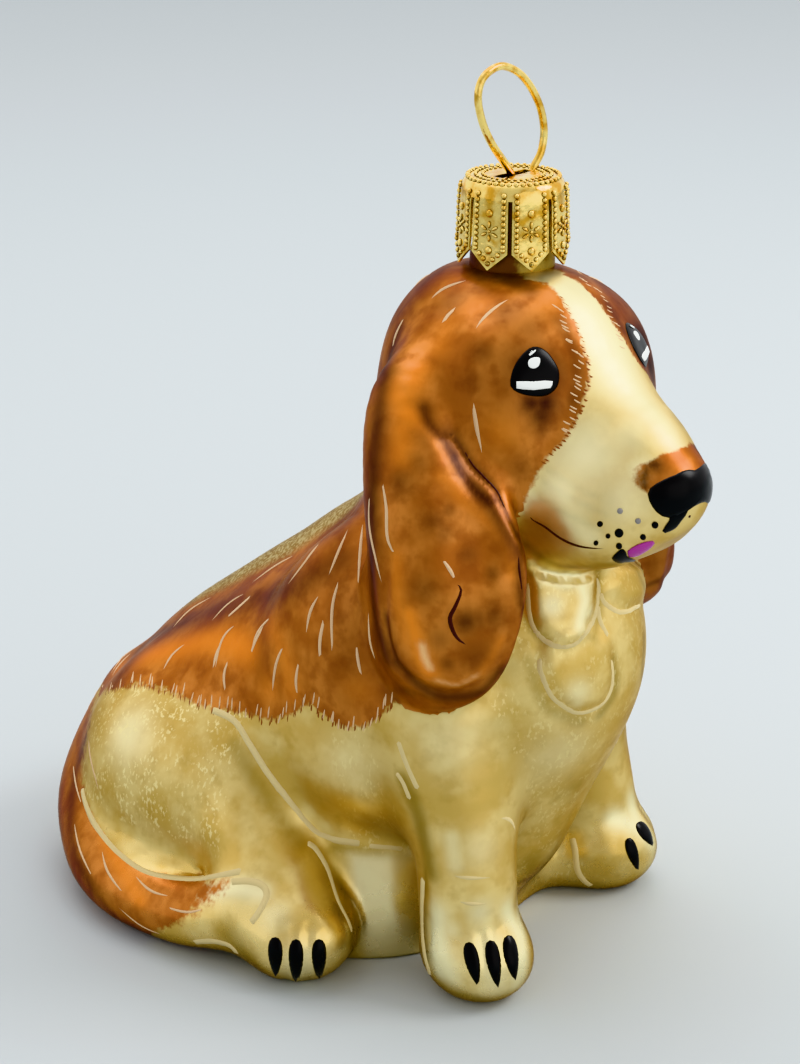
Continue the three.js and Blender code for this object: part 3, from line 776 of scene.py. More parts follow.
# Painted highlights of bright amber on the brown lacquer.
AMBER_HIGHLIGHT_LINES = [
    ([(418, 372), (404, 410), (402, 455)], 1.5, 0.6), ([(440, 345), (452, 320), (480, 300)], 1.6, 0.35),
    ([(409, 615), (416, 638), (422, 658), (429, 672)], 1.1, 0.9), (EAR_ROLL, 0.7, 0.35),
    ([(432, 679), (459, 684), (481, 672), (502, 640)], 0.6, 0.4),
    ([(392, 392), (402, 405), (410, 418)], 1.8, 0.8),
    ([(120, 665), (160, 652), (215, 640), (250, 650)], 2.2, 0.8),
    ([(270, 625), (285, 660), (290, 690)], 1.8, 0.5), ([(395, 560), (398, 600), (408, 640)], 1.1, 0.5),
    ([(100, 790), (108, 840), (140, 900)], 1.2, 0.6),
]
AMBER_HIGHLIGHT_SPOTS = [((500, 432), 2.2, 0.4), ((545, 300), 1.8, 0.3), ((355, 690), 1.9, 0.5), ((270, 690), 2.0, 0.4)]
# Cream: the blaze's own cream paint, and cream painted highlights on the muzzle, throat, paws, chest, thigh
# and hock.
CREAM_AND_HIGHLIGHT_LINES = [
    ([(560, 285), (590, 320), (610, 360), (650, 400), (690, 440)], 4.2, 1.0),
    ([(560, 540), (600, 470), (640, 420)], 3.0, 0.5), ([(572, 572), (579, 598), (574, 626)], 0.8, 0.9),
    ([(436, 915), (440, 950), (448, 975)], 1.8, 0.9), ([(518, 905), (522, 950), (518, 985)], 1.4, 0.9),
    ([(610, 800), (625, 820)], 1.6, 0.8), ([(452, 840), (456, 865)], 1.2, 0.5),
    ([(205, 893), (235, 888), (262, 893)], 1.4, 0.8), ([(300, 960), (300, 985)], 2.6, 0.6),
    ([(490, 950), (497, 985)], 2.6, 0.6), ([(545, 575), (580, 578)], 0.9, 0.9),
    ([(530, 500), (560, 520), (590, 535)], 1.8, 0.6), ([(430, 925), (434, 950), (440, 972)], 1.6, 1.0),
    ([(508, 910), (522, 945), (522, 985)], 1.4, 0.9),
]
# Near-white painted glints on the ear's lower streak and rim.
PAINTED_GLINT_LINES = [([(422, 646), (425, 658), (430, 668)], 0.45, 0.6),
               ([(436, 680), (458, 685), (478, 675)], 0.3, 0.3)]
CREAM_AND_HIGHLIGHT_SPOTS = [
    ((585, 612), 0.9, 0.8), ((128, 735), 4.0, 0.65), ((575, 700), 0.9, 0.5), ((600, 480), 4.0, 0.5),
    ((350, 765), 4.0, 0.35), ((450, 740), 4.0, 0.35), ((560, 755), 4.5, 0.4), ((450, 930), 1.4, 0.6),
    ((275, 915), 2.0, 0.5), ((480, 850), 2.5, 0.4), ((600, 850), 2.0, 0.5), ((575, 690), 1.6, 0.6),
    ((640, 590), 1.2, 0.4), ((585, 455), 4.5, 0.8), ((560, 490), 3.0, 0.75), ((620, 500), 3.5, 0.6),
    ((536, 508), 1.8, 0.9), ((640, 470), 2.0, 0.6),
]
SILVER_PANEL = [(348, 852), (412, 850), (418, 900), (420, 965), (362, 968), (352, 910)]
SHADOW_SPOTS = [((640, 442), 2.0, 0.35), ((610, 500), 1.6, 0.25), ((240, 800), 3, 0.25),
                ((570, 790), 2.5, 0.3)]
# Painted sheen: silvery reflections on the throat's fold, the muzzle and the fore paw.
SHEEN_SPOTS = [((548, 605), 1.5, 0.9), ((560, 580), 1.4, 0.6), ((630, 478), 1.6, 0.3), ((480, 912), 1.6, 0.7)]
# Painted shade where two groups of pellets meet in a crease.
CREASES = [("trunk", "hind", 2.6, 1), ("trunk", "fore", 2.4, 1), ("tail", "hind", 1.4, 0.6),
           ("skull", "ears", 1.2, 1), ("ears", "trunk", 2.4, 1)]
# Where the silver on the spine and between the legs, the glitter and the gloss begin and end.
SPINE_BOTTOM = 24
SPINE_FADE = (-1.2, 1.6)
PANEL_FADE = (-8, 10)
PANEL_TOP, PANEL_FRONT, PANEL_BACK = 18, -20, 4
SPECKLE_OUTWARD = (12, 18)
SPECKLE_BOTTOM, SPECKLE_FRONT, CHEST_BACK = 12, 8, -5
LEFT_OUTWARD = (2, 9)
GLOSSY_BELOW = (-16, -7)


def shade(lines=(), spots=(), where=None):
    """The strongest of some soft lines and spots at each point of the skin."""
    strength = np.zeros(len(points))
    for pixels, width, weight in lines:
        strength = np.maximum(strength, weight * ridge(pixels, width, where))
    for pixel, size, weight in spots:
        strength = np.maximum(strength, weight * spot(pixel, size, where))
    return strength


def crease(first, second, width):
    """Near one in the crease where two groups of pellets meet."""
    return np.exp(-(np.abs(group_gaps[first]) + np.abs(group_gaps[second])) / width)


def keep_mask(piece, name, values):
    attribute = piece.data.attributes.new(name, "FLOAT", "POINT")
    attribute.data.foreach_set("value", np.clip(values, 0, 1).astype(np.float32))
    print(name, "covers", (values > 0.5).mean().round(3))


creases = np.max([weight * crease(first, second, width) for first, second, width, weight in CREASES], axis=0)
spine_half, spine_y = np.array(SPINE_EDGE).T
spine_width = np.interp(points[:, 1], spine_y, spine_half)
spine = smooth_step(spine_width - np.abs(points[:, 0]), *SPINE_FADE)
spine = spine * belongs("trunk") * (points[:, 2] > SPINE_BOTTOM)
panel = smooth_step(depth_inside(twin_pixels, SILVER_PANEL), *PANEL_FADE) * (points[:, 2] < PANEL_TOP)
panel = panel * (belongs("trunk") & (points[:, 1] < PANEL_BACK) & (points[:, 1] > PANEL_FRONT))
flank_speckle = smooth_step(np.abs(points[:, 0]), *SPECKLE_OUTWARD)
flank_speckle = flank_speckle * (points[:, 2] > SPECKLE_BOTTOM) * (points[:, 1] > SPECKLE_FRONT)
chest_speckle = 0.5 * belongs("trunk") * (points[:, 1] < CHEST_BACK) * (1 - panel)
# Painted shade on the far, left side of the head, which is turned away from the light; the painted highlights
# are taken off there too.
far_side_shade = 0.4 * on_head * smooth_step(in_head[:, 0], *LEFT_OUTWARD)
dark_and_fold_shade = shade(DARK_AND_SHADE_LINES, DARK_AND_SHADE_SPOTS) + 0.25 * crease("skull", "ears", 0.6)
crease_shade = np.max([0.85 * creases, shade(spots=SHADOW_SPOTS), shade(OLIVE_AND_SHADE_LINES)], axis=0)
# Painted light among these masks: the deep red-brown one is painted shade beside mottles, the amber one
# painted highlights, the near-white one painted glints, the olive one painted shade, the cream one painted
# highlights beside the blaze, and the silver one painted sheen beside the spine's and the panel's own silver.
masks = {
    "brown": brown_band(inside_brown),
    "dark_and_shade": np.maximum(dark_and_fold_shade, far_side_shade),
    "amber_highlight": shade(AMBER_HIGHLIGHT_LINES, AMBER_HIGHLIGHT_SPOTS) * (1 - 2 * far_side_shade),
    "cream_and_highlight": shade(CREAM_AND_HIGHLIGHT_LINES, CREAM_AND_HIGHLIGHT_SPOTS),
    "painted_glint": shade(PAINTED_GLINT_LINES),
    "olive_and_shade": crease_shade * (1 - 0.7 * panel),
    "silver_and_sheen": np.max([0.8 * panel, 0.9 * spine, shade(spots=SHEEN_SPOTS)], axis=0),
    "speckle": np.max([flank_speckle, chest_speckle, spine], axis=0),
    "gloss": smooth_step(-points[:, 2], *GLOSSY_BELOW),
}
for name, values in masks.items():
    keep_mask(glass, name, values)


# %% [markdown]
# Colours are noted as the hexadecimal numbers that a picture program shows, and turned into the linear values
# that the renderer mixes.

# %% Material helpers
def linear(hex_colour):
    channels = [int(hex_colour[i:i + 2], 16) / 255 for i in (1, 3, 5)]
    return (*[c / 12.92 if c <= 0.04045 else ((c + 0.055) / 1.055) ** 2.4 for c in channels], 1)


def new_material(name, **settings):
    """A material whose shader has some of its sockets set, named in small letters with underscores."""
    material = bpy.data.materials.new(name)
    material.use_nodes = True
    shader = material.node_tree.nodes["Principled BSDF"]
    sockets = {socket.name.lower().replace(" ", "_"): socket for socket in shader.inputs}
    for socket_name, value in settings.items():
        sockets[socket_name].default_value = value
    return material


def add_node(material, kind, inputs=None, **settings):
    node = material.node_tree.nodes.new(kind)
    for name, value in settings.items():
        setattr(node, name, value)
    for name, value in (inputs or {}).items():
        socket = node.inputs[name]
        if isinstance(value, bpy.types.NodeSocket):
            material.node_tree.links.new(value, socket)
        else:
            socket.default_value = linear(value) if isinstance(value, str) else value
    return node


def mask(material, name):
    return add_node(material, "ShaderNodeAttribute", attribute_name=name).outputs["Fac"]


def mix(material, factor, a, b):
    return add_node(material, "ShaderNodeMix", {0: factor, 6: a, 7: b}, data_type="RGBA").outputs[2]


def coats(material, ground, layers):
    """Colours laid over a ground one after another, each where its mask is."""
    for cover, colour in layers:
        ground = mix(material, cover, ground, colour)
    return ground


def sums(material, operation, a, b):
    return add_node(material, "ShaderNodeMath", {0: a, 1: b}, operation=operation).outputs[0]


def clouds(material, size, detail=2, stretch=(1, 1, 1)):
    """Soft blotches about as wide as the size in millimetres, in the object's own coordinates."""
    place = add_node(material, "ShaderNodeTexCoord").outputs["Object"]
    place = add_node(material, "ShaderNodeMapping", {"Vector": place, "Scale": stretch}).outputs[0]
    return add_node(material, "ShaderNodeTexNoise", {
        "Vector": place, "Scale": 1 / (size * MM), "Detail": detail}).outputs[0]


def between(material, value, low, high, out_low=0, out_high=1):
    return add_node(material, "ShaderNodeMapRange", {
        "Value": value, "From Min": low, "From Max": high, "To Min": out_low, "To Max": out_high},
        interpolation_type="SMOOTHSTEP").outputs[0]


def plug(material, socket_name, output):
    material.node_tree.links.new(
        output, material.node_tree.nodes["Principled BSDF"].inputs[socket_name])


def add_bump(material, height, millimetres):
    plug(material, "Normal", add_node(material, "ShaderNodeBump", {
        "Height": height, "Strength": 1, "Distance": millimetres * MM}).outputs[0])


# %% [markdown]
# Silvered and lacquered glass: a mirror film of silver inside the glass, seen through clear coloured lacquer
# that was sprayed on and then matted, as on most painted tree ornaments. To the eye it is a satin metal with
# wide soft highlights. The brown is deep where it pooled and amber where it is thin, in soft random clouds,
# and the champagne has paler specks where it was dusted with fine glitter. Over both lie the painted shade
# and painted highlights of the masks.

# %% Silvered, lacquered glass
EDGE_TINT = "#A8895C"
lacquer = new_material(
    "silvered_lacquered_glass", metallic=0.88, coat_weight=0.25, coat_roughness=0.25,
    specular_tint=linear(EDGE_TINT))
wide, middling, fine = clouds(lacquer, 5.5, 3), clouds(lacquer, 2.2, 3), clouds(lacquer, 0.6)
specks = between(lacquer, clouds(lacquer, 0.42, 3, (1, 1, 0.6)), 0.54, 0.62)
specks = sums(lacquer, "MULTIPLY", specks, between(lacquer, clouds(lacquer, 3.0, 2), 0.42, 0.58, 0.15, 1))
specks = sums(lacquer, "MULTIPLY", specks, mask(lacquer, "speckle"))

streaks = clouds(lacquer, 1.5, 3, (1, 1, 0.35))
dusted = mix(lacquer, between(lacquer, clouds(lacquer, 0.45, 3), 0.42, 0.6), "#A58C50", "#D6CA98")
# On the brown, the bright amber is painted highlight, the deep red-brown is mostly painted shade beside the
# lacquer's own mottles, and the near-white is a painted glint.
amber = coats(lacquer, "#A8622A", (
    (between(lacquer, wide, 0.38, 0.62), "#CC8444"),
    (between(lacquer, middling, 0.46, 0.7, 0, 0.5), "#8A4618"),
    (between(lacquer, streaks, 0.48, 0.72, 0, 0.25), "#8A4618"),
    (mask(lacquer, "amber_highlight"), "#F0913A"),
    (mask(lacquer, "dark_and_shade"), "#34110A"),
    (mask(lacquer, "silver_and_sheen"), dusted),
    (mask(lacquer, "painted_glint"), "#FFE0A8")))
# On the champagne, the olive is painted shade in the creases, the cream is the blaze's own cream with painted
# highlights, and the silver is painted sheen beside the spine's and the panel's own silver.
champagne = coats(lacquer, "#DAB868", (
    (between(lacquer, wide, 0.36, 0.64), "#EED48C"),
    (between(lacquer, middling, 0.5, 0.75, 0, 0.4), "#C2A052"),
    (mask(lacquer, "silver_and_sheen"), "#E8DEB0"),
    (mask(lacquer, "olive_and_shade"), "#92782E"),
    (mask(lacquer, "cream_and_highlight"), "#FFF6C4"),
    (sums(lacquer, "MULTIPLY", specks, 0.6), "#FFF0B0")))

ragged = sums(lacquer, "MULTIPLY", sums(lacquer, "SUBTRACT", clouds(lacquer, 0.8, 3), 0.5), 0.25)
edge = between(lacquer, sums(lacquer, "ADD", mask(lacquer, "brown"), ragged), 0.44, 0.56)
plug(lacquer, "Base Color", mix(lacquer, edge, champagne, amber))
satin = between(lacquer, middling, 0.3, 0.7, 0.36, 0.46)
plug(lacquer, "Roughness", sums(
    lacquer, "SUBTRACT", satin, sums(lacquer, "MULTIPLY", mask(lacquer, "gloss"), 0.14)))
add_bump(lacquer, sums(lacquer, "ADD", sums(lacquer, "MULTIPLY", fine, 0.6), specks), 0.01)

# %% The glass in its lacquer
finish_piece(glass, lacquer)
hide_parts("head", "ear_right", "ear_left", "torso", "chest", "tail",
            "foreleg_right", "foreleg_left", "hindleg_right", "hindleg_left")


# %% [markdown]
# Eyes, nose, claws and whisker dots are drops of thick enamel. Each starts as a disc with a few rings, is
# bent onto the glass inside its outline in the photograph, and is thickened a little. Only the nose has its
# outline drawn from the front. The left side gets a copy of what was painted on the right, settled onto the
# glass there.

# %% Enamel materials
def enamel(name, colour, roughness):
    return new_material(name, base_color=linear(colour), roughness=roughness, specular_ior_level=0.25)


black = enamel("black_enamel", "#040202", 0.28)
white = enamel("white_enamel", "#EEF0EC", 0.25)
pink = enamel("pink_enamel", "#B0489A", 0.25)
umber = enamel("umber_enamel", "#3A0E06", 0.3)
beige = enamel("beige_enamel", "#DCC890", 0.4)
hair_colour = enamel("pale_hair_enamel", "#DDBB92", 0.4)
grey = enamel("grey_enamel", "#8E8A86", 0.3)
brown_enamel = enamel("brown_enamel", "#8A4A1C", 0.4)


# %% Copies on the left side
LEFT_EYE_TURN = 10


def twin_on_left(places, part):
    """The left side's copy of points on the right side, settled onto the glass."""
    if part in ("head", "ear", "eye"):
        turned = into_head(places)
        turned[:, 0] *= -1
        if part == "eye":
            turned = (turned - HEAD_MIDDLE) @ turn_matrix(0, 0, LEFT_EYE_TURN) + HEAD_MIDDLE
        if part == "ear":
            turned[:, 1] += LEFT_EAR_BACK
        moved = out_of_head(turned)
    else:
        moved = places * [-1, 1, 1]
        if part == "fore":
            moved = moved + [-LEFT_LEG_IN, LEFT_LEG_BACK, 0]
    settled = [glass_tree.find_nearest(Vector(place))[:2] for place in moved]
    return np.array([s[0] for s in settled]).reshape(-1, 3), np.array([s[1] for s in settled]).reshape(-1, 3)


# %% Enamel drops
DROP_RINGS = (0.06, 0.12, 0.2, 0.25)
DROP_DEPTH = 0.3
DROP_RIM = 0.05
DROP_REACH = 8.0
MUZZLE_CORE = np.array([0.0, -36.0, 62.2])
MUZZLE_SIZE = 6.3


def from_camera(pixels):
    """Hits on the glass. A sight line that just misses its outline settles on the nearest glass."""
    hits, normals = [], []
    depth = np.linalg.norm(throw([np.mean(pixels, axis=0)], glass_tree)[0][0] - eye)
    for pixel in pixels:
        line = Vector(sight_line(pixel))
        hit, normal, _, distance = glass_tree.ray_cast(Vector(eye), line)
        if hit is None or abs(distance - depth) > DROP_REACH:
            hit, normal, _, _ = glass_tree.find_nearest(Vector(eye) + line * depth)
        hits.append(hit)
        normals.append(normal)
    return np.array(hits), np.array(normals)


def from_the_muzzle(places):
    """Hits of lines that fan out from a point inside the muzzle's tip, given across and up at the front."""
    hits, normals = [], []
    for across, rise in places:
        sideways = np.hypot(across, rise - MUZZLE_CORE[2])
        ahead = math.sqrt(max(MUZZLE_SIZE ** 2 - sideways ** 2, 0.5))
        line = NECK_TURN @ [across, -ahead, rise - MUZZLE_CORE[2]]
        hit, normal, _, _ = glass_tree.ray_cast(Vector(out_of_head(MUZZLE_CORE)), Vector(line))
        hits.append(hit)
        normals.append(normal)
    return np.array(hits), np.array(normals)


def drop(outline, height, sides=28, part=None, lift=0.0, cast=from_camera):
    bpy.ops.mesh.primitive_circle_add(vertices=sides, radius=1, fill_type="NGON")
    piece = bpy.context.object
    open_for_editing(piece)
    for inset in DROP_RINGS:
        bpy.ops.mesh.inset(thickness=inset)
    bpy.ops.mesh.poke()
    bpy.ops.object.mode_set(mode="OBJECT")
    disc = points_of(piece)
    outline = np.array(outline, float)
    middle = outline.mean(0)
    spokes = outline - middle
    angle = np.arctan2(spokes[:, 1], spokes[:, 0])
    order = np.argsort(angle)
    ring = np.hypot(disc[:, 0], disc[:, 1])
    around = np.arctan2(disc[:, 1], disc[:, 0])
    spread = ring * np.interp(around, angle[order], np.hypot(*spokes.T)[order], period=2 * math.pi)
    spots = middle + spread[:, None] * np.stack([np.cos(around), np.sin(around)], 1)
    hits, normals = cast(spots)
    if part:
        hits, normals = twin_on_left(hits, part)
    dome = lift + DROP_RIM + height * (1 - ring ** 4)
    place_points(piece, hits + dome[:, None] * normals)
    facing = np.array([face.normal for face in piece.data.polygons]).mean(0) @ normals.mean(0)
    if facing < 0:
        piece.data.flip_normals()
    apply_modifier(piece, "SOLIDIFY", thickness=DROP_DEPTH + lift, offset=-1)
    return piece


def smooth_outline(outline, steps=5):
    closed = [outline[-1], *outline, outline[0], outline[1]]
    return smooth_path(closed, steps)[steps:-2 * steps]


def straight_outline(corners, steps=6):
    sides = zip(np.array(corners, float), np.roll(np.array(corners, float), -1, 0))
    return np.vstack([a + (b - a) * t for a, b in sides for t in np.arange(steps) / steps])


def circle(middle, radius):
    turns = np.linspace(0, 2 * math.pi, 12, endpoint=False)
    return np.array(middle) + radius * np.stack([np.cos(turns), np.sin(turns)], 1)


def teardrop(root, tip, width):
    """A claw's outline, round at its root, widest a third of the way down and pointed at its tip."""
    root, tip = np.array(root, float), np.array(tip, float)
    along = tip - root
    side = np.array([-along[1], along[0]]) / np.linalg.norm(along) * width / 2
    t = (1 - np.cos(np.linspace(0, math.pi, 15)))[:, None] / 2
    swell = t ** 0.4 * (1 - t) ** 0.8
    swell /= swell.max()
    right_side = root + along * t + side * swell
    left_side = root + along * t - side * swell
    return np.vstack([right_side, left_side[1:-1]])


def paint(name, drops, material):
    finish_piece(join(drops, name), material)


# %% Eyes
EYE = [(511, 388), (512, 372), (520, 357), (532, 347), (543, 349), (552, 358), (559, 372), (557, 387),
       (545, 396), (525, 395)]
PUPIL_LIGHT = [(528, 361), (533, 358), (539, 359), (538, 366), (533, 369), (528, 367)]
LID_LIGHT = [(516, 381), (533, 382), (552, 380), (551, 388), (533, 390), (516, 389)]
BROW_LIGHT = [(528, 355), (535, 350), (535, 352), (529, 357)]
eyes = [drop(smooth_outline(EYE), 0.22, part=part, sides=36) for part in (None, "eye")]
paint("eyes", eyes, black)
lights = [
    drop(outline, 0.08, part=part, lift=0.22, sides=32)
    for part in (None, "eye")
    for outline in (smooth_outline(PUPIL_LIGHT), straight_outline(LID_LIGHT), straight_outline(BROW_LIGHT))]
paint("eye_lights", lights, white)

# %% Nose and mouth
NOSE_HALF = [(0, 64.4), (2.4, 64.4), (3.9, 63.9), (4.8, 63.2), (5, 62.4), (4.7, 61.4), (4.0, 60.5),
             (3.1, 60.1), (2.2, 60.3), (1.1, 60.9)]
NOSE = [*NOSE_HALF, (0, 61.1), *[(-x, z) for x, z in reversed(NOSE_HALF[1:])]]
TONGUE = [(627, 552), (633, 547), (645, 542), (655, 541), (652, 546), (645, 551), (636, 556), (629, 557)]
PHILTRUM = [(680, 513), (689, 510), (681, 521), (674, 529), (662, 533), (669, 521)]
LIP_CORNER = [(612, 559), (616, 553), (622, 549), (626, 552), (628, 557), (638, 560), (624, 562)]
WHISKERS = [(600, 524, 3), (655, 525, 3.5), (643, 537, 3), (596, 543, 2.5), (619, 546, 3.2),
            (619, 533, 4.5), (608, 536, 2.5)]
PALE_WHISKERS = [(620, 511, 3), (638, 521, 3)]

paint("nose", [drop(smooth_outline(NOSE), 0.15, sides=48, cast=from_the_muzzle)], black)
for name, outline, height, colour in (
        ("philtrum", PHILTRUM, 0.12, black),
        ("tongue", TONGUE, 0.3, pink),
        ("lip_corner", LIP_CORNER, 0.15, black)):
    paint(name, [drop(smooth_outline(outline), height, sides=32)], colour)
for name, places, colour in (("whisker_dots", WHISKERS, black), ("pale_whisker_dots", PALE_WHISKERS, grey)):
    dots = [
        drop(circle((x, y), radius), 0.14, sides=14, part=part)
        for x, y, radius in places for part in (None, "head")]
    paint(name, dots, colour)

# %% Claws
CLAWS = {
    "hind": [((275, 937), (276, 977)), ((296, 939), (296, 985)), ((319, 939), (319, 981))],
    "fore": [((468, 942), (478, 986)), ((490, 940), (498, 988)), ((508, 935), (515, 981))],
}
FAR_CLAWS = [((628, 838), (638, 871)), ((638, 822), (653, 846))]
NEAR_CLAW_WIDTH, FAR_CLAW_WIDTH = 14, 11


def claw(root, tip, width=NEAR_CLAW_WIDTH, part=None):
    return drop(teardrop(root, tip, width), 0.2, sides=36, part=part)


claws = [
    claw(root, tip, part=side)
    for part, pairs in CLAWS.items() for root, tip in pairs
    for side in ((None, part) if part == "hind" else (None,))]
claws += [claw(root, tip, FAR_CLAW_WIDTH) for root, tip in FAR_CLAWS]
claws += [claw(*CLAWS["fore"][0], part="fore")]
paint("claws", claws, black)


# %% [markdown]
# Hairs, outlines and the mouth are single strokes of a brush with thick enamel. They stand about a tenth or
# two of a millimetre proud and run out at their ends. Each is a fine tube along a line of the photograph,
# sunk into the glass by a share of its radius.

# %% Brush strokes
LONGEST_STEP = 2.5


def tube(routes, radius, name, taper=None, sides=1):
    """Round wires or strokes along routes in space, as one closed mesh."""
    curve = bpy.data.curves.new(name, "CURVE")
    curve.dimensions = "3D"
    curve.bevel_depth = radius
    curve.bevel_resolution = sides
    curve.use_fill_caps = True
    for route in routes:
        spline = curve.splines.new("POLY")
        spline.points.add(len(route) - 1)
        spline.points.foreach_set("co", np.hstack([route, np.ones((len(route), 1))]).ravel())
        if taper is not None:
            spline.points.foreach_set("radius", taper(np.linspace(0, 1, len(route))))
    obj = bpy.data.objects.new(name, curve)
    bpy.context.scene.collection.objects.link(obj)
    only(obj)
    bpy.ops.object.convert(target="MESH")
    return bpy.context.view_layer.objects.active


def unbroken(route):
    """The longest stretch of a route without a leap from one form to another."""
    leaps = np.flatnonzero(np.linalg.norm(np.diff(route, axis=0), axis=1) > LONGEST_STEP) + 1
    return max(np.split(route, leaps), key=len)


def stroke_route(pixels, sunk, part=None):
    rows = np.array(pixels, float)
    steps = max(2, int(np.linalg.norm(np.diff(rows, axis=0), axis=1).max() / 5))
    hits, normals = throw(smooth_path(rows, steps), glass_tree)
    if part:
        hits, normals = twin_on_left(hits, part)
    return unbroken(hits - sunk * normals)


def thin_ends(t):
    return np.clip(np.sin(math.pi * t) ** 0.6, 0.12, 1)


def round_ends(t):
    return np.clip(14 * np.minimum(t, 1 - t), 0.3, 1)


def strokes(name, groups_of_lines, radius, material, taper=thin_ends, sunk=0.6):
    """Strokes of one width and colour. Each group names the part that carries the left side's copies."""
    routes = []
    for part, lines in groups_of_lines:
        for pixels in lines:
            routes.append(stroke_route(pixels, sunk * radius))
            if part:
                routes.append(stroke_route(pixels, sunk * radius, part))
    routes = [route for route in routes if len(route) > 2]
    finish_piece(tube(routes, radius, name, taper), material)


# %% Hairs
HEAD_HAIRS = [
    [(410, 290), (421, 279), (436, 271)], [(426, 303), (445, 288), (476, 277)],
    [(390, 366), (393, 345), (398, 330), (408, 310)],
]
BROAD_HAIRS = [
    [(466, 344), (480, 322), (500, 304), (526, 290)], [(468, 384), (474, 410), (479, 440), (486, 472)],
    [(438, 332), (448, 315), (466, 300)],
]
EAR_HAIRS = [
    [(378, 460), (386, 505), (388, 540), (402, 566)], [(371, 470), (369, 520), (376, 560), (386, 600)],
    [(440, 556), (450, 570), (456, 582)],
]
BROAD_BACK_HAIRS = [
    [(262, 585), (240, 606), (212, 630)], [(346, 512), (322, 540), (300, 566)],
    [(330, 596), (320, 640), (322, 676)], [(272, 612), (256, 640), (246, 668)],
    [(228, 630), (216, 655), (212, 682)], [(140, 645), (120, 664), (106, 686)],
]
BACK_HAIRS = [
    [(370, 480), (362, 530), (357, 600)], [(347, 508), (318, 545), (282, 592)],
    [(300, 552), (275, 566), (242, 590)], [(220, 592), (190, 610), (166, 635)],
    [(142, 640), (122, 658), (105, 682)], [(240, 620), (222, 640), (213, 680)],
    [(275, 612), (258, 632), (250, 656)], [(322, 590), (310, 612), (305, 642)],
    [(342, 570), (332, 610), (333, 672)], [(356, 640), (358, 660), (363, 682)],
    [(286, 640), (276, 665), (271, 702)], [(352, 520), (338, 552), (325, 585)],
    [(250, 590), (228, 604), (205, 628)], [(190, 640), (172, 655), (160, 676)],
    [(368, 600), (370, 640), (378, 668)], [(300, 655), (296, 680), (298, 700)],
    [(230, 655), (224, 675), (226, 698)],
]
strokes("head_hairs", [("head", HEAD_HAIRS), ("ear", EAR_HAIRS), ("body", BACK_HAIRS)], 0.32, hair_colour)
strokes("broad_hairs", [("head", BROAD_HAIRS), ("body", BROAD_BACK_HAIRS)], 0.42, hair_colour, sunk=0.75)

# %% Fringes along the blaze and the cape
NEAR_FRINGE = [(557, 308), (567, 322), (571, 340), (578, 356), (580, 372), (578, 388), (576, 404),
               (570, 420), (562, 434)]
FAR_FRINGE = [(576, 273), (592, 286), (604, 300), (611, 316), (618, 332), (624, 350)]
DASH_STEP = 5.5
CAPE_DASH_STEP = 7.0
SPIKE_STEP = 5


def dashes(path, step, start, end, jitter):
    """Short strokes set at even steps along a path, each from start to end beside it."""
    line = smooth_path(path, 12)
    length = np.concatenate([[0], np.cumsum(np.linalg.norm(np.diff(line, axis=0), axis=1))])
    made = []
    for place in np.arange(0, length[-1], step):
        at = np.array([np.interp(place, length, line[:, axis]) for axis in (0, 1)])
        wobble = np.array([random.uniform(-jitter, jitter), random.uniform(-jitter, jitter)])
        a = at + np.array(start) + wobble
        b = at + np.array(end) + wobble * 0.6
        made.append([a, (a + b) / 2 + [0, 0.8], b])
    return made


near_fringe = dashes(NEAR_FRINGE, DASH_STEP, (-6, -3), (5, 3), 4)
far_fringe = dashes(FAR_FRINGE, DASH_STEP, (-3, -2), (6, 3), 2.5)
strokes("blaze_fringe", [("", near_fringe), ("", far_fringe)], 0.14, hair_colour)
cape_fringe = dashes(CAPE_EDGE, CAPE_DASH_STEP, (1, -14), (-2, 4), 5)
strokes("cape_fringe", [("body", cape_fringe)], 0.16, hair_colour)
near_spikes = dashes(BLAZE_EDGE[2:-3], SPIKE_STEP, (-5, -3), (5, 2), 2)
cape_spikes = dashes(CAPE_EDGE[1:], SPIKE_STEP, (1, -8), (-1, 8), 3)
strokes("brown_spikes", [("head", near_spikes), ("body", cape_spikes)], 0.2, brown_enamel, sunk=0.75)

# %% Outlines of the limbs and the throat
LIMB_LINES = [
    [(207, 708), (218, 712), (235, 722), (250, 745), (267, 772), (285, 795), (312, 828), (330, 838),
     (350, 842), (372, 845)],
    [(366, 845), (380, 847), (396, 848), (412, 850)],
    [(305, 842), (315, 848), (328, 870), (338, 900), (350, 925), (358, 955)],
    [(423, 870), (422, 910), (424, 950), (432, 981)], [(397, 738), (404, 758), (411, 775), (419, 792)],
    [(395, 771), (403, 783), (411, 803)],
]
FORE_BANDS = [
    [(447, 872), (460, 877), (480, 878), (512, 874)], [(453, 898), (465, 903), (480, 904), (503, 901)],
    [(495, 821), (503, 818), (511, 821), (516, 832), (517, 850)],
]
TAIL_LINES = [
    [(80, 776), (86, 805), (100, 832), (122, 856), (150, 873), (190, 879), (225, 874), (252, 868)],
    [(222, 882), (248, 881), (262, 885), (267, 895), (259, 912), (247, 928)],
    [(190, 943), (212, 941), (230, 946), (238, 955)],
]
FAR_LEG_LINE = [(571, 834), (575, 850), (577, 868), (583, 880), (594, 888)]
THROAT_LINES = [
    [(527, 564), (528, 600), (532, 624), (543, 639), (560, 647), (575, 644), (588, 630), (596, 610),
     (598, 585), (593, 568)],
    [(540, 650), (540, 668), (547, 688), (557, 702), (579, 713), (600, 706), (610, 692), (613, 674),
     (609, 646)],
    [(641, 564), (646, 578), (648, 590), (645, 600), (635, 608), (620, 612), (605, 603), (600, 590)],
    [(598, 603), (600, 620), (610, 640)],
]
TAIL_HAIRS = [
    [(88, 730), (91, 760), (103, 806)], [(72, 755), (76, 785), (84, 812)],
    [(72, 810), (80, 850), (98, 888)], [(100, 842), (108, 872), (130, 902)],
    [(130, 870), (150, 890), (176, 898)], [(110, 900), (140, 925), (170, 938)],
    [(160, 905), (186, 912), (208, 908)],
]
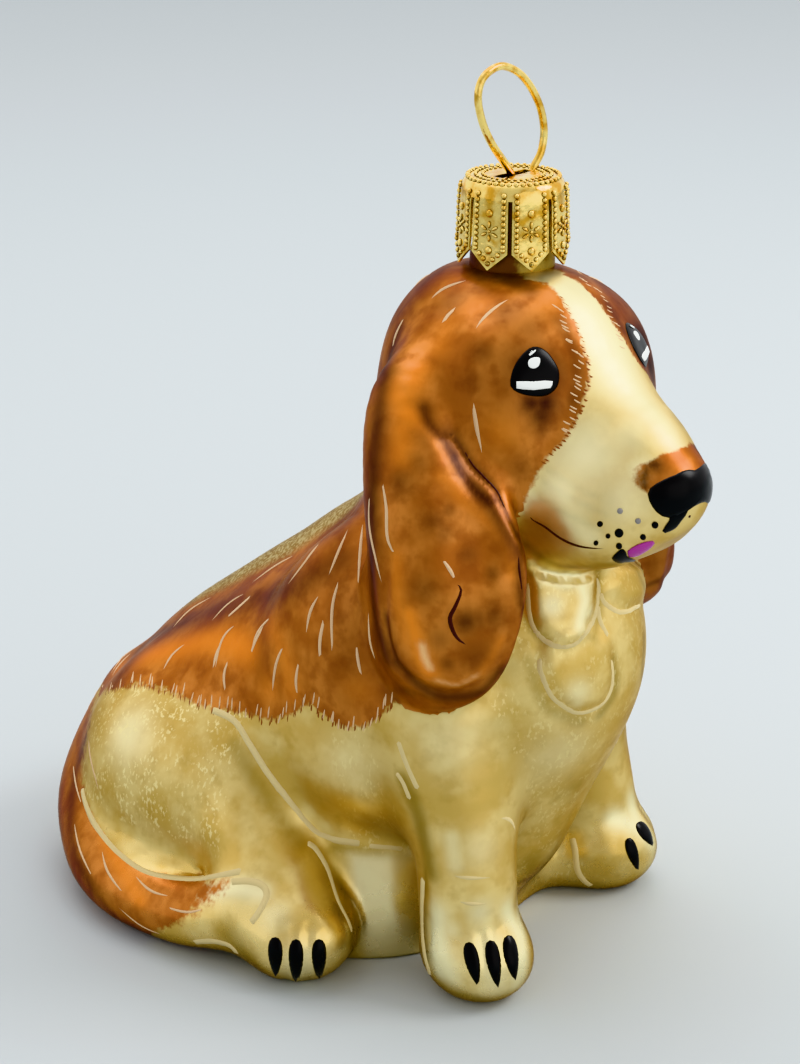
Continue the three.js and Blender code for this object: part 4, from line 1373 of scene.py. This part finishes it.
strokes("limb_lines", [("hind", LIMB_LINES)], 0.72, beige, round_ends, sunk=0.75)
strokes("fore_bands", [("fore", FORE_BANDS)], 0.46, beige, sunk=0.72)
strokes("own_lines", [("", [*TAIL_LINES, *THROAT_LINES, FAR_LEG_LINE])], 0.72, beige, round_ends, sunk=0.75)
strokes("tail_hairs", [("", TAIL_HAIRS)], 0.22, hair_colour)

# %% Mouth and dark strokes
MOUTH_LINE = [(529, 515), (533, 520), (545, 527), (560, 538), (575, 545), (590, 548), (611, 549)]
EAR_CURL = [(453, 580), (461, 590), (455, 607), (450, 618), (453, 631), (460, 641), (472, 647)]
EAR_EDGE = [(519, 548), (519, 566), (522, 591), (524, 620)]
LIP_SLIT = [[(678, 514), (675, 522), (670, 530)], [(686, 519), (693, 514)]]
strokes("mouth_line", [("head", [MOUTH_LINE])], 0.2, umber, sunk=0.3)
strokes("ear_curl", [("ear", [EAR_CURL])], 0.3, umber, sunk=0.4)
strokes("ear_creases", [("head", [EAR_FRONT, EAR_EDGE])], 0.18, umber)
strokes("lip_slit", [("", LIP_SLIT)], 0.3, umber)


# %% [markdown]
# The cap was stamped from thin brass and plated: a cup whose wall is parted into eight tabs, each with rows
# of beads along its edges and a small flower in its middle. Its sheet is a grid rolled round the neck, with
# the gaps between the tabs deleted and a thickness added. The beads are half-sunk balls.

# %% Sheets of revolution
def grid_sheet(columns, rows, name):
    """A flat grid to be rolled round the cap's axis, with the column and the row of each of its points."""
    bpy.ops.mesh.primitive_grid_add(x_subdivisions=columns, y_subdivisions=rows, size=2)
    sheet = bpy.context.object
    sheet.name = name
    flat = points_of(sheet)
    column = np.rint((flat[:, 0] + 1) / 2 * columns).astype(int)
    row = np.rint((flat[:, 1] + 1) / 2 * rows).astype(int)
    return sheet, column, row


def around_cap(turn, radius, height):
    level = np.zeros_like(radius) + height
    return np.stack([radius * np.cos(turn), radius * np.sin(turn), level], -1) + CAP_ON_DRAWING


def close_sheet(sheet):
    open_for_editing(sheet)
    bpy.ops.mesh.remove_doubles(threshold=0.001)
    bpy.ops.mesh.normals_make_consistent(inside=False)
    bpy.ops.object.mode_set(mode="OBJECT")


# %% Cap sheet
CAP_TOP, CAP_TIP = 92.3, 82.7
TABS = 8
TAB_CELLS = 8
FIRST_SLOT = math.radians(28)
TAB_TURN = 2 * math.pi / TABS
SLOT_HALF = math.radians(2.2)
SLOT_TOP = 90.4
TAB_POINT = 1.9
CAP_WALL = 0.28
CAP_PROFILE = [
    (0.01, 92.2), (2.0, 92.25), (3.6, 92.2), (4.6, 92.15), (5.0, 92.05), (5.3, 91.9), (5.55, 91.6),
    (5.72, 91.2), (5.82, 90.8), (5.87, 90.4), (5.9, 89.9), (5.93, 89.2), (5.96, 88.3), (5.98, 87.4),
    (6.0, 86.6),
]
TAB_ROWS = 6
TAB_FLARE, FLATNESS = 0.4, 0.022
FLAT_FROM, FLAT_FADE = 91.2, 1.5
cap_radii, cap_heights = np.array(CAP_PROFILE).T


def tab_place(share, height_share):
    """Radius and height on a tab below its straight part, across from -1 to 1 and down from 0 to 1."""
    foot = CAP_TIP + TAB_POINT * np.abs(share)
    height = cap_heights[-1] + (foot - cap_heights[-1]) * height_share
    return wall_radius(height) * facet(share), height


def wall_radius(height):
    flare = np.clip((cap_heights[-1] - height) / (cap_heights[-1] - CAP_TIP), 0, 1)
    return np.interp(-height, -cap_heights, cap_radii) + TAB_FLARE * flare ** 1.5


def facet(share):
    """Each tab is nearly flat, so its edges lie further out than its middle."""
    return 1 + FLATNESS * share ** 2


turns = np.concatenate([
    FIRST_SLOT + tab * TAB_TURN + SLOT_HALF
    + (TAB_TURN - 2 * SLOT_HALF) * np.arange(TAB_CELLS + 1) / TAB_CELLS
    for tab in range(TABS)] + [[FIRST_SLOT + SLOT_HALF + 2 * math.pi]])
rows_in_cap = len(CAP_PROFILE) + TAB_ROWS
cap, column, row = grid_sheet(len(turns) - 1, rows_in_cap - 1, "stamped_cap")
share = (column % (TAB_CELLS + 1)) / TAB_CELLS * 2 - 1
on_tab = row >= len(CAP_PROFILE)
straight_row = np.minimum(row, len(CAP_PROFILE) - 1)
flatter = np.clip((FLAT_FROM - cap_heights[straight_row]) / FLAT_FADE, 0, 1)
radius = cap_radii[straight_row] * (1 + (facet(share) - 1) * flatter)
height = cap_heights[straight_row]
tab_radius, tab_height = tab_place(share, (row - len(CAP_PROFILE) + 1) / TAB_ROWS)
radius = np.where(on_tab, tab_radius, radius)
height = np.where(on_tab, tab_height, height)
place_points(cap, around_cap(turns[column], radius, height))


def delete_faces(piece, chosen):
    """Deletes the faces for which chosen is true, as by hand in face select mode."""
    only(piece)
    bpy.ops.object.mode_set(mode="EDIT")
    bpy.ops.mesh.select_mode(type="FACE")
    bpy.ops.mesh.select_all(action="DESELECT")
    bpy.ops.object.mode_set(mode="OBJECT")
    piece.data.polygons.foreach_set("select", chosen)
    bpy.ops.object.mode_set(mode="EDIT")
    bpy.ops.mesh.delete(type="FACE")
    bpy.ops.mesh.select_mode(type="VERT")
    bpy.ops.object.mode_set(mode="OBJECT")


def in_a_gap(face):
    corners = list(face.vertices)
    between_tabs = column[corners].min() % (TAB_CELLS + 1) == TAB_CELLS
    return bool(between_tabs and height[corners].max() < SLOT_TOP + 0.05)


gap_faces = [in_a_gap(face) for face in cap.data.polygons]
delete_faces(cap, gap_faces)
close_sheet(cap)
apply_modifier(cap, "SOLIDIFY", thickness=CAP_WALL, offset=-1)
print("cap sheet", len(cap.data.polygons), "faces,", sum(gap_faces), "deleted in the gaps")

# %% Slot in the cap's top
CAP_SLOT = (5.2, 1.3, 4.0)
bpy.ops.mesh.primitive_cube_add(size=1)
cutter = bpy.context.object
place_points(cutter, points_of(cutter) * CAP_SLOT @ NECK_TURN.T + CAP_ON_DRAWING + [0, 0, CAP_TOP])
apply_modifier(cap, "BOOLEAN", object=cutter, operation="DIFFERENCE", solver="EXACT")
bpy.data.objects.remove(cutter)
apply_modifier(cap, "BEVEL", width=0.05, segments=2, limit_method="ANGLE", angle_limit=math.radians(50))

# %% Beads and flowers on the cap
BEAD = 0.29
BEAD_PITCH = 0.62
BEAD_INSET = 0.5
RIM_ROWS = [(5.05, 92.05, 0.3, 42), (4.2, 92.2, 0.22, 38), (3.4, 92.22, 0.2, 32)]
SLOT_CLEARANCE = (3.0, 1.0)
bpy.ops.mesh.primitive_ico_sphere_add(subdivisions=2, radius=1)
pattern_ball = bpy.context.object


def ball_at(place, sizes, turn, lean=0.0):
    """A squeezed ball: its sizes lie along the wall, out of the wall and up, before it leans over."""
    ball = pattern_ball.copy()
    ball.data = pattern_ball.data.copy()
    bpy.context.scene.collection.objects.link(ball)
    spin = Matrix.Rotation(turn + math.pi / 2, 4, "Z") @ Matrix.Rotation(lean, 4, "Y")
    ball.matrix_world = Matrix.Translation(Vector(place)) @ spin @ Matrix.Diagonal((*sizes, 1))
    return ball


def on_tab_wall(tab, share, height):
    """A place on the outer face of a tab, and the turn that it faces."""
    turn = FIRST_SLOT + (tab + 0.5) * TAB_TURN + share * (TAB_TURN / 2 - SLOT_HALF)
    return around_cap(turn, wall_radius(height) * facet(share), height), turn


half_width = cap_radii[-1] * (TAB_TURN / 2 - SLOT_HALF)
edge_share = 1 - BEAD_INSET / half_width
BEADS_FROM = 91.0
straight_beads = np.arange(BEADS_FROM, CAP_TIP + TAB_POINT + 0.6, -BEAD_PITCH)
point_beads = np.linspace(0, 1, 4)
POINT_BEAD, POINT_BEAD_RISE = CAP_TIP + 0.75, TAB_POINT - 0.35
FLOWER_HEIGHT, DOT_HEIGHTS = 87.0, (89.0, 84.9)
PETALS = 6
PETAL, DOT, FLOWER_HEART = (0.42, 0.28, 0.18), (0.42, 0.34, 0.46), (0.2, 0.22, 0.2)
PETAL_REACH = 0.75
balls = []
for tab in range(TABS):
    for side in (-1, 1):
        rows = [(side * edge_share, height) for height in straight_beads]
        rows += [(side * edge_share * (1 - t), POINT_BEAD + POINT_BEAD_RISE * (1 - t)) for t in point_beads]
        for share, height in rows:
            place, turn = on_tab_wall(tab, share, height)
            balls.append(ball_at(place, (BEAD, BEAD, BEAD), turn))
    for height in DOT_HEIGHTS:
        place, turn = on_tab_wall(tab, 0, height)
        balls.append(ball_at(place, DOT, turn))
    for petal in range(PETALS):
        angle = math.radians(360 / PETALS * (petal + 0.5))
        across, rise = PETAL_REACH * math.cos(angle), PETAL_REACH * math.sin(angle)
        place, turn = on_tab_wall(tab, across / half_width, FLOWER_HEIGHT + rise)
        balls.append(ball_at(place, PETAL, turn, -angle))
    place, turn = on_tab_wall(tab, 0, FLOWER_HEIGHT)
    balls.append(ball_at(place, FLOWER_HEART, turn))
for radius, height, size, count in RIM_ROWS:
    for turn in np.linspace(0, 2 * math.pi, count, endpoint=False):
        place = around_cap(turn, radius, height)
        inside_slot = np.abs((place - CAP_ON_DRAWING) @ NECK_TURN)[:2] < SLOT_CLEARANCE
        if not inside_slot.all():
            balls.append(ball_at(place, (size, size, size), turn))
bpy.data.objects.remove(pattern_ball)
cap = join([cap, *balls], "stamped_cap")
print(len(balls), "beads and petals on the cap")

# %% [markdown]
# Thin brass, gold plated and bright: a metal colour for the base, little roughness, and dark brown painted
# shade in the hollows between the beads, found by how enclosed each point is.

# %% Gold-plated brass
HOLLOW_REACH = 0.7


def gold_plate(name):
    """Bright gold with its plated colour, and a surface as uneven as thin sheet or drawn wire is."""
    gold = new_material(name, metallic=1.0)
    plated = mix(gold, between(gold, clouds(gold, 1.6, 3), 0.42, 0.68), "#FFE28A", "#DDA945")
    plug(gold, "Roughness", between(gold, clouds(gold, 0.9), 0.3, 0.7, 0.1, 0.22))
    add_bump(gold, clouds(gold, 1.1), 0.08)
    return gold, plated


gold, plated = gold_plate("gold_plated_brass")
# Painted shade: dark brown where the surface is enclosed by the beads and tabs.
hollow_shade = add_node(gold, "ShaderNodeAmbientOcclusion", {"Distance": HOLLOW_REACH * MM}, samples=6)
openness = between(gold, hollow_shade.outputs["AO"], 0.4, 0.95)
plug(gold, "Base Color", mix(gold, openness, "#4E2A06", plated))
finish_piece(cap, gold, smooth_angle=35)
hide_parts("cap")

# %% [markdown]
# Under the cap the glass ends in a short bottle neck. The brown runs up its back and sides, and its front is
# champagne like the top of the blaze. All of it is darkened with red-brown and olive painted shade, for the
# shade under the cap. It shows only through the slots and under the tabs' points.

# %% Bottle neck
BARE_NECK_FRONT = -18.4
NECK_PROFILE = [(4.8, 81.6), (4.75, 83.2), (4.6, 84.0), (4.4, 84.6), (4.4, 91.2), (4.1, 91.4), (3.5, 91.2),
                (3.4, 86.6), (0.01, 86.5)]
neck_turns = np.linspace(0, 2 * math.pi, 49)
neck, column, row = grid_sheet(len(neck_turns) - 1, len(NECK_PROFILE) - 1, "bottle_neck")
neck_radii, neck_heights = np.array(NECK_PROFILE).T
place_points(neck, around_cap(neck_turns[column], neck_radii[row], neck_heights[row]))
close_sheet(neck)
neck_points = into_head(points_of(neck))
keep_mask(neck, "brown", brown_band(neck_points[:, 1] - BARE_NECK_FRONT))
# Painted shade over the whole neck, which lies in the cap's shade.
for name in ("dark_and_shade", "olive_and_shade"):
    keep_mask(neck, name, np.full(len(neck_points), 0.8))
finish_piece(neck, lacquer, smooth_angle=40)

# %% [markdown]
# The loop is one piece of springy brass wire, bent by hand into a leaning egg shape whose legs drop through
# the slot. Its course is read in the photograph and laid into the upright plane of the slot.

# %% Wire loop
WIRE_RADIUS = 0.44
LOOP_COURSE = [(513, 180), (510, 171), (502, 159), (492, 144), (483, 124), (478, 100), (481, 82), (490, 71),
               (503, 66), (519, 73), (532, 89), (541, 110), (544, 132), (541, 152), (534, 166), (530, 177)]


def onto_slot_plane(pixel):
    line = sight_line(pixel)
    facing = NECK_TURN @ [0, 1, 0]
    return eye + line * (((CAP_ON_DRAWING - eye) @ facing) / (line @ facing))


route = smooth_path([onto_slot_plane(pixel) for pixel in LOOP_COURSE], 5)
print("loop's top at", route[:, 2].max().round(1), "mm")
loop = tube([route], WIRE_RADIUS, "wire_loop", sides=4)
wire_gold, plated = gold_plate("gold_plated_wire")
plug(wire_gold, "Base Color", plated)
finish_piece(loop, wire_gold)
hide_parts("hanger")

# %% [markdown]
# The stage is a sheet of pale paper under soft daylight: a wide window of light overhead and behind, a
# smaller and stronger one at the front, a broad one low in front, and a pale sky that the silver mirrors.

# %% Floor, light and finish
bpy.ops.mesh.primitive_plane_add(size=4)
floor = bpy.context.object
floor.name = "floor"
floor.data.materials.append(new_material("pale_paper", roughness=0.8, base_color=linear("#BBC1C3")))
DIM_SIDE = (-0.75, -0.55, 0.36)
SKY_STRENGTH = 1.1
world = bpy.data.worlds.new("world")
bpy.context.scene.world = world
world.use_nodes = True
direction = add_node(world, "ShaderNodeTexCoord").outputs["Generated"]
towards = add_node(world, "ShaderNodeVectorMath", {0: direction, 1: DIM_SIDE}, operation="DOT_PRODUCT")
room = mix(world, between(world, towards.outputs["Value"], 0.2, 0.95), "#FCFDFF", "#CACCCE")
world.node_tree.links.new(room, world.node_tree.nodes["Background"].inputs["Color"])
world.node_tree.nodes["Background"].inputs["Strength"].default_value = SKY_STRENGTH
bpy.context.scene.view_settings.view_transform = "Khronos PBR Neutral"


def area_light(name, place, size, watts, colour="#FFFFFF"):
    bpy.ops.object.light_add(type="AREA", location=place)
    light = bpy.context.object
    light.name = name
    light.data.shape = "RECTANGLE"
    light.data.size, light.data.size_y = size
    light.data.energy = watts
    light.data.color = linear(colour)[:3]
    light.rotation_euler = (Vector((0, 0, 0.05)) - Vector(place)).to_track_quat("-Z", "Y").to_euler()


area_light("window_above", (0.14, 0.16, 0.55), (0.5, 0.5), 1.2)
area_light("window_front", (0.3, -0.45, 0.55), (0.3, 0.3), 2.2)
area_light("window_low", (-0.25, -0.75, 0.2), (0.7, 0.7), 1.0)
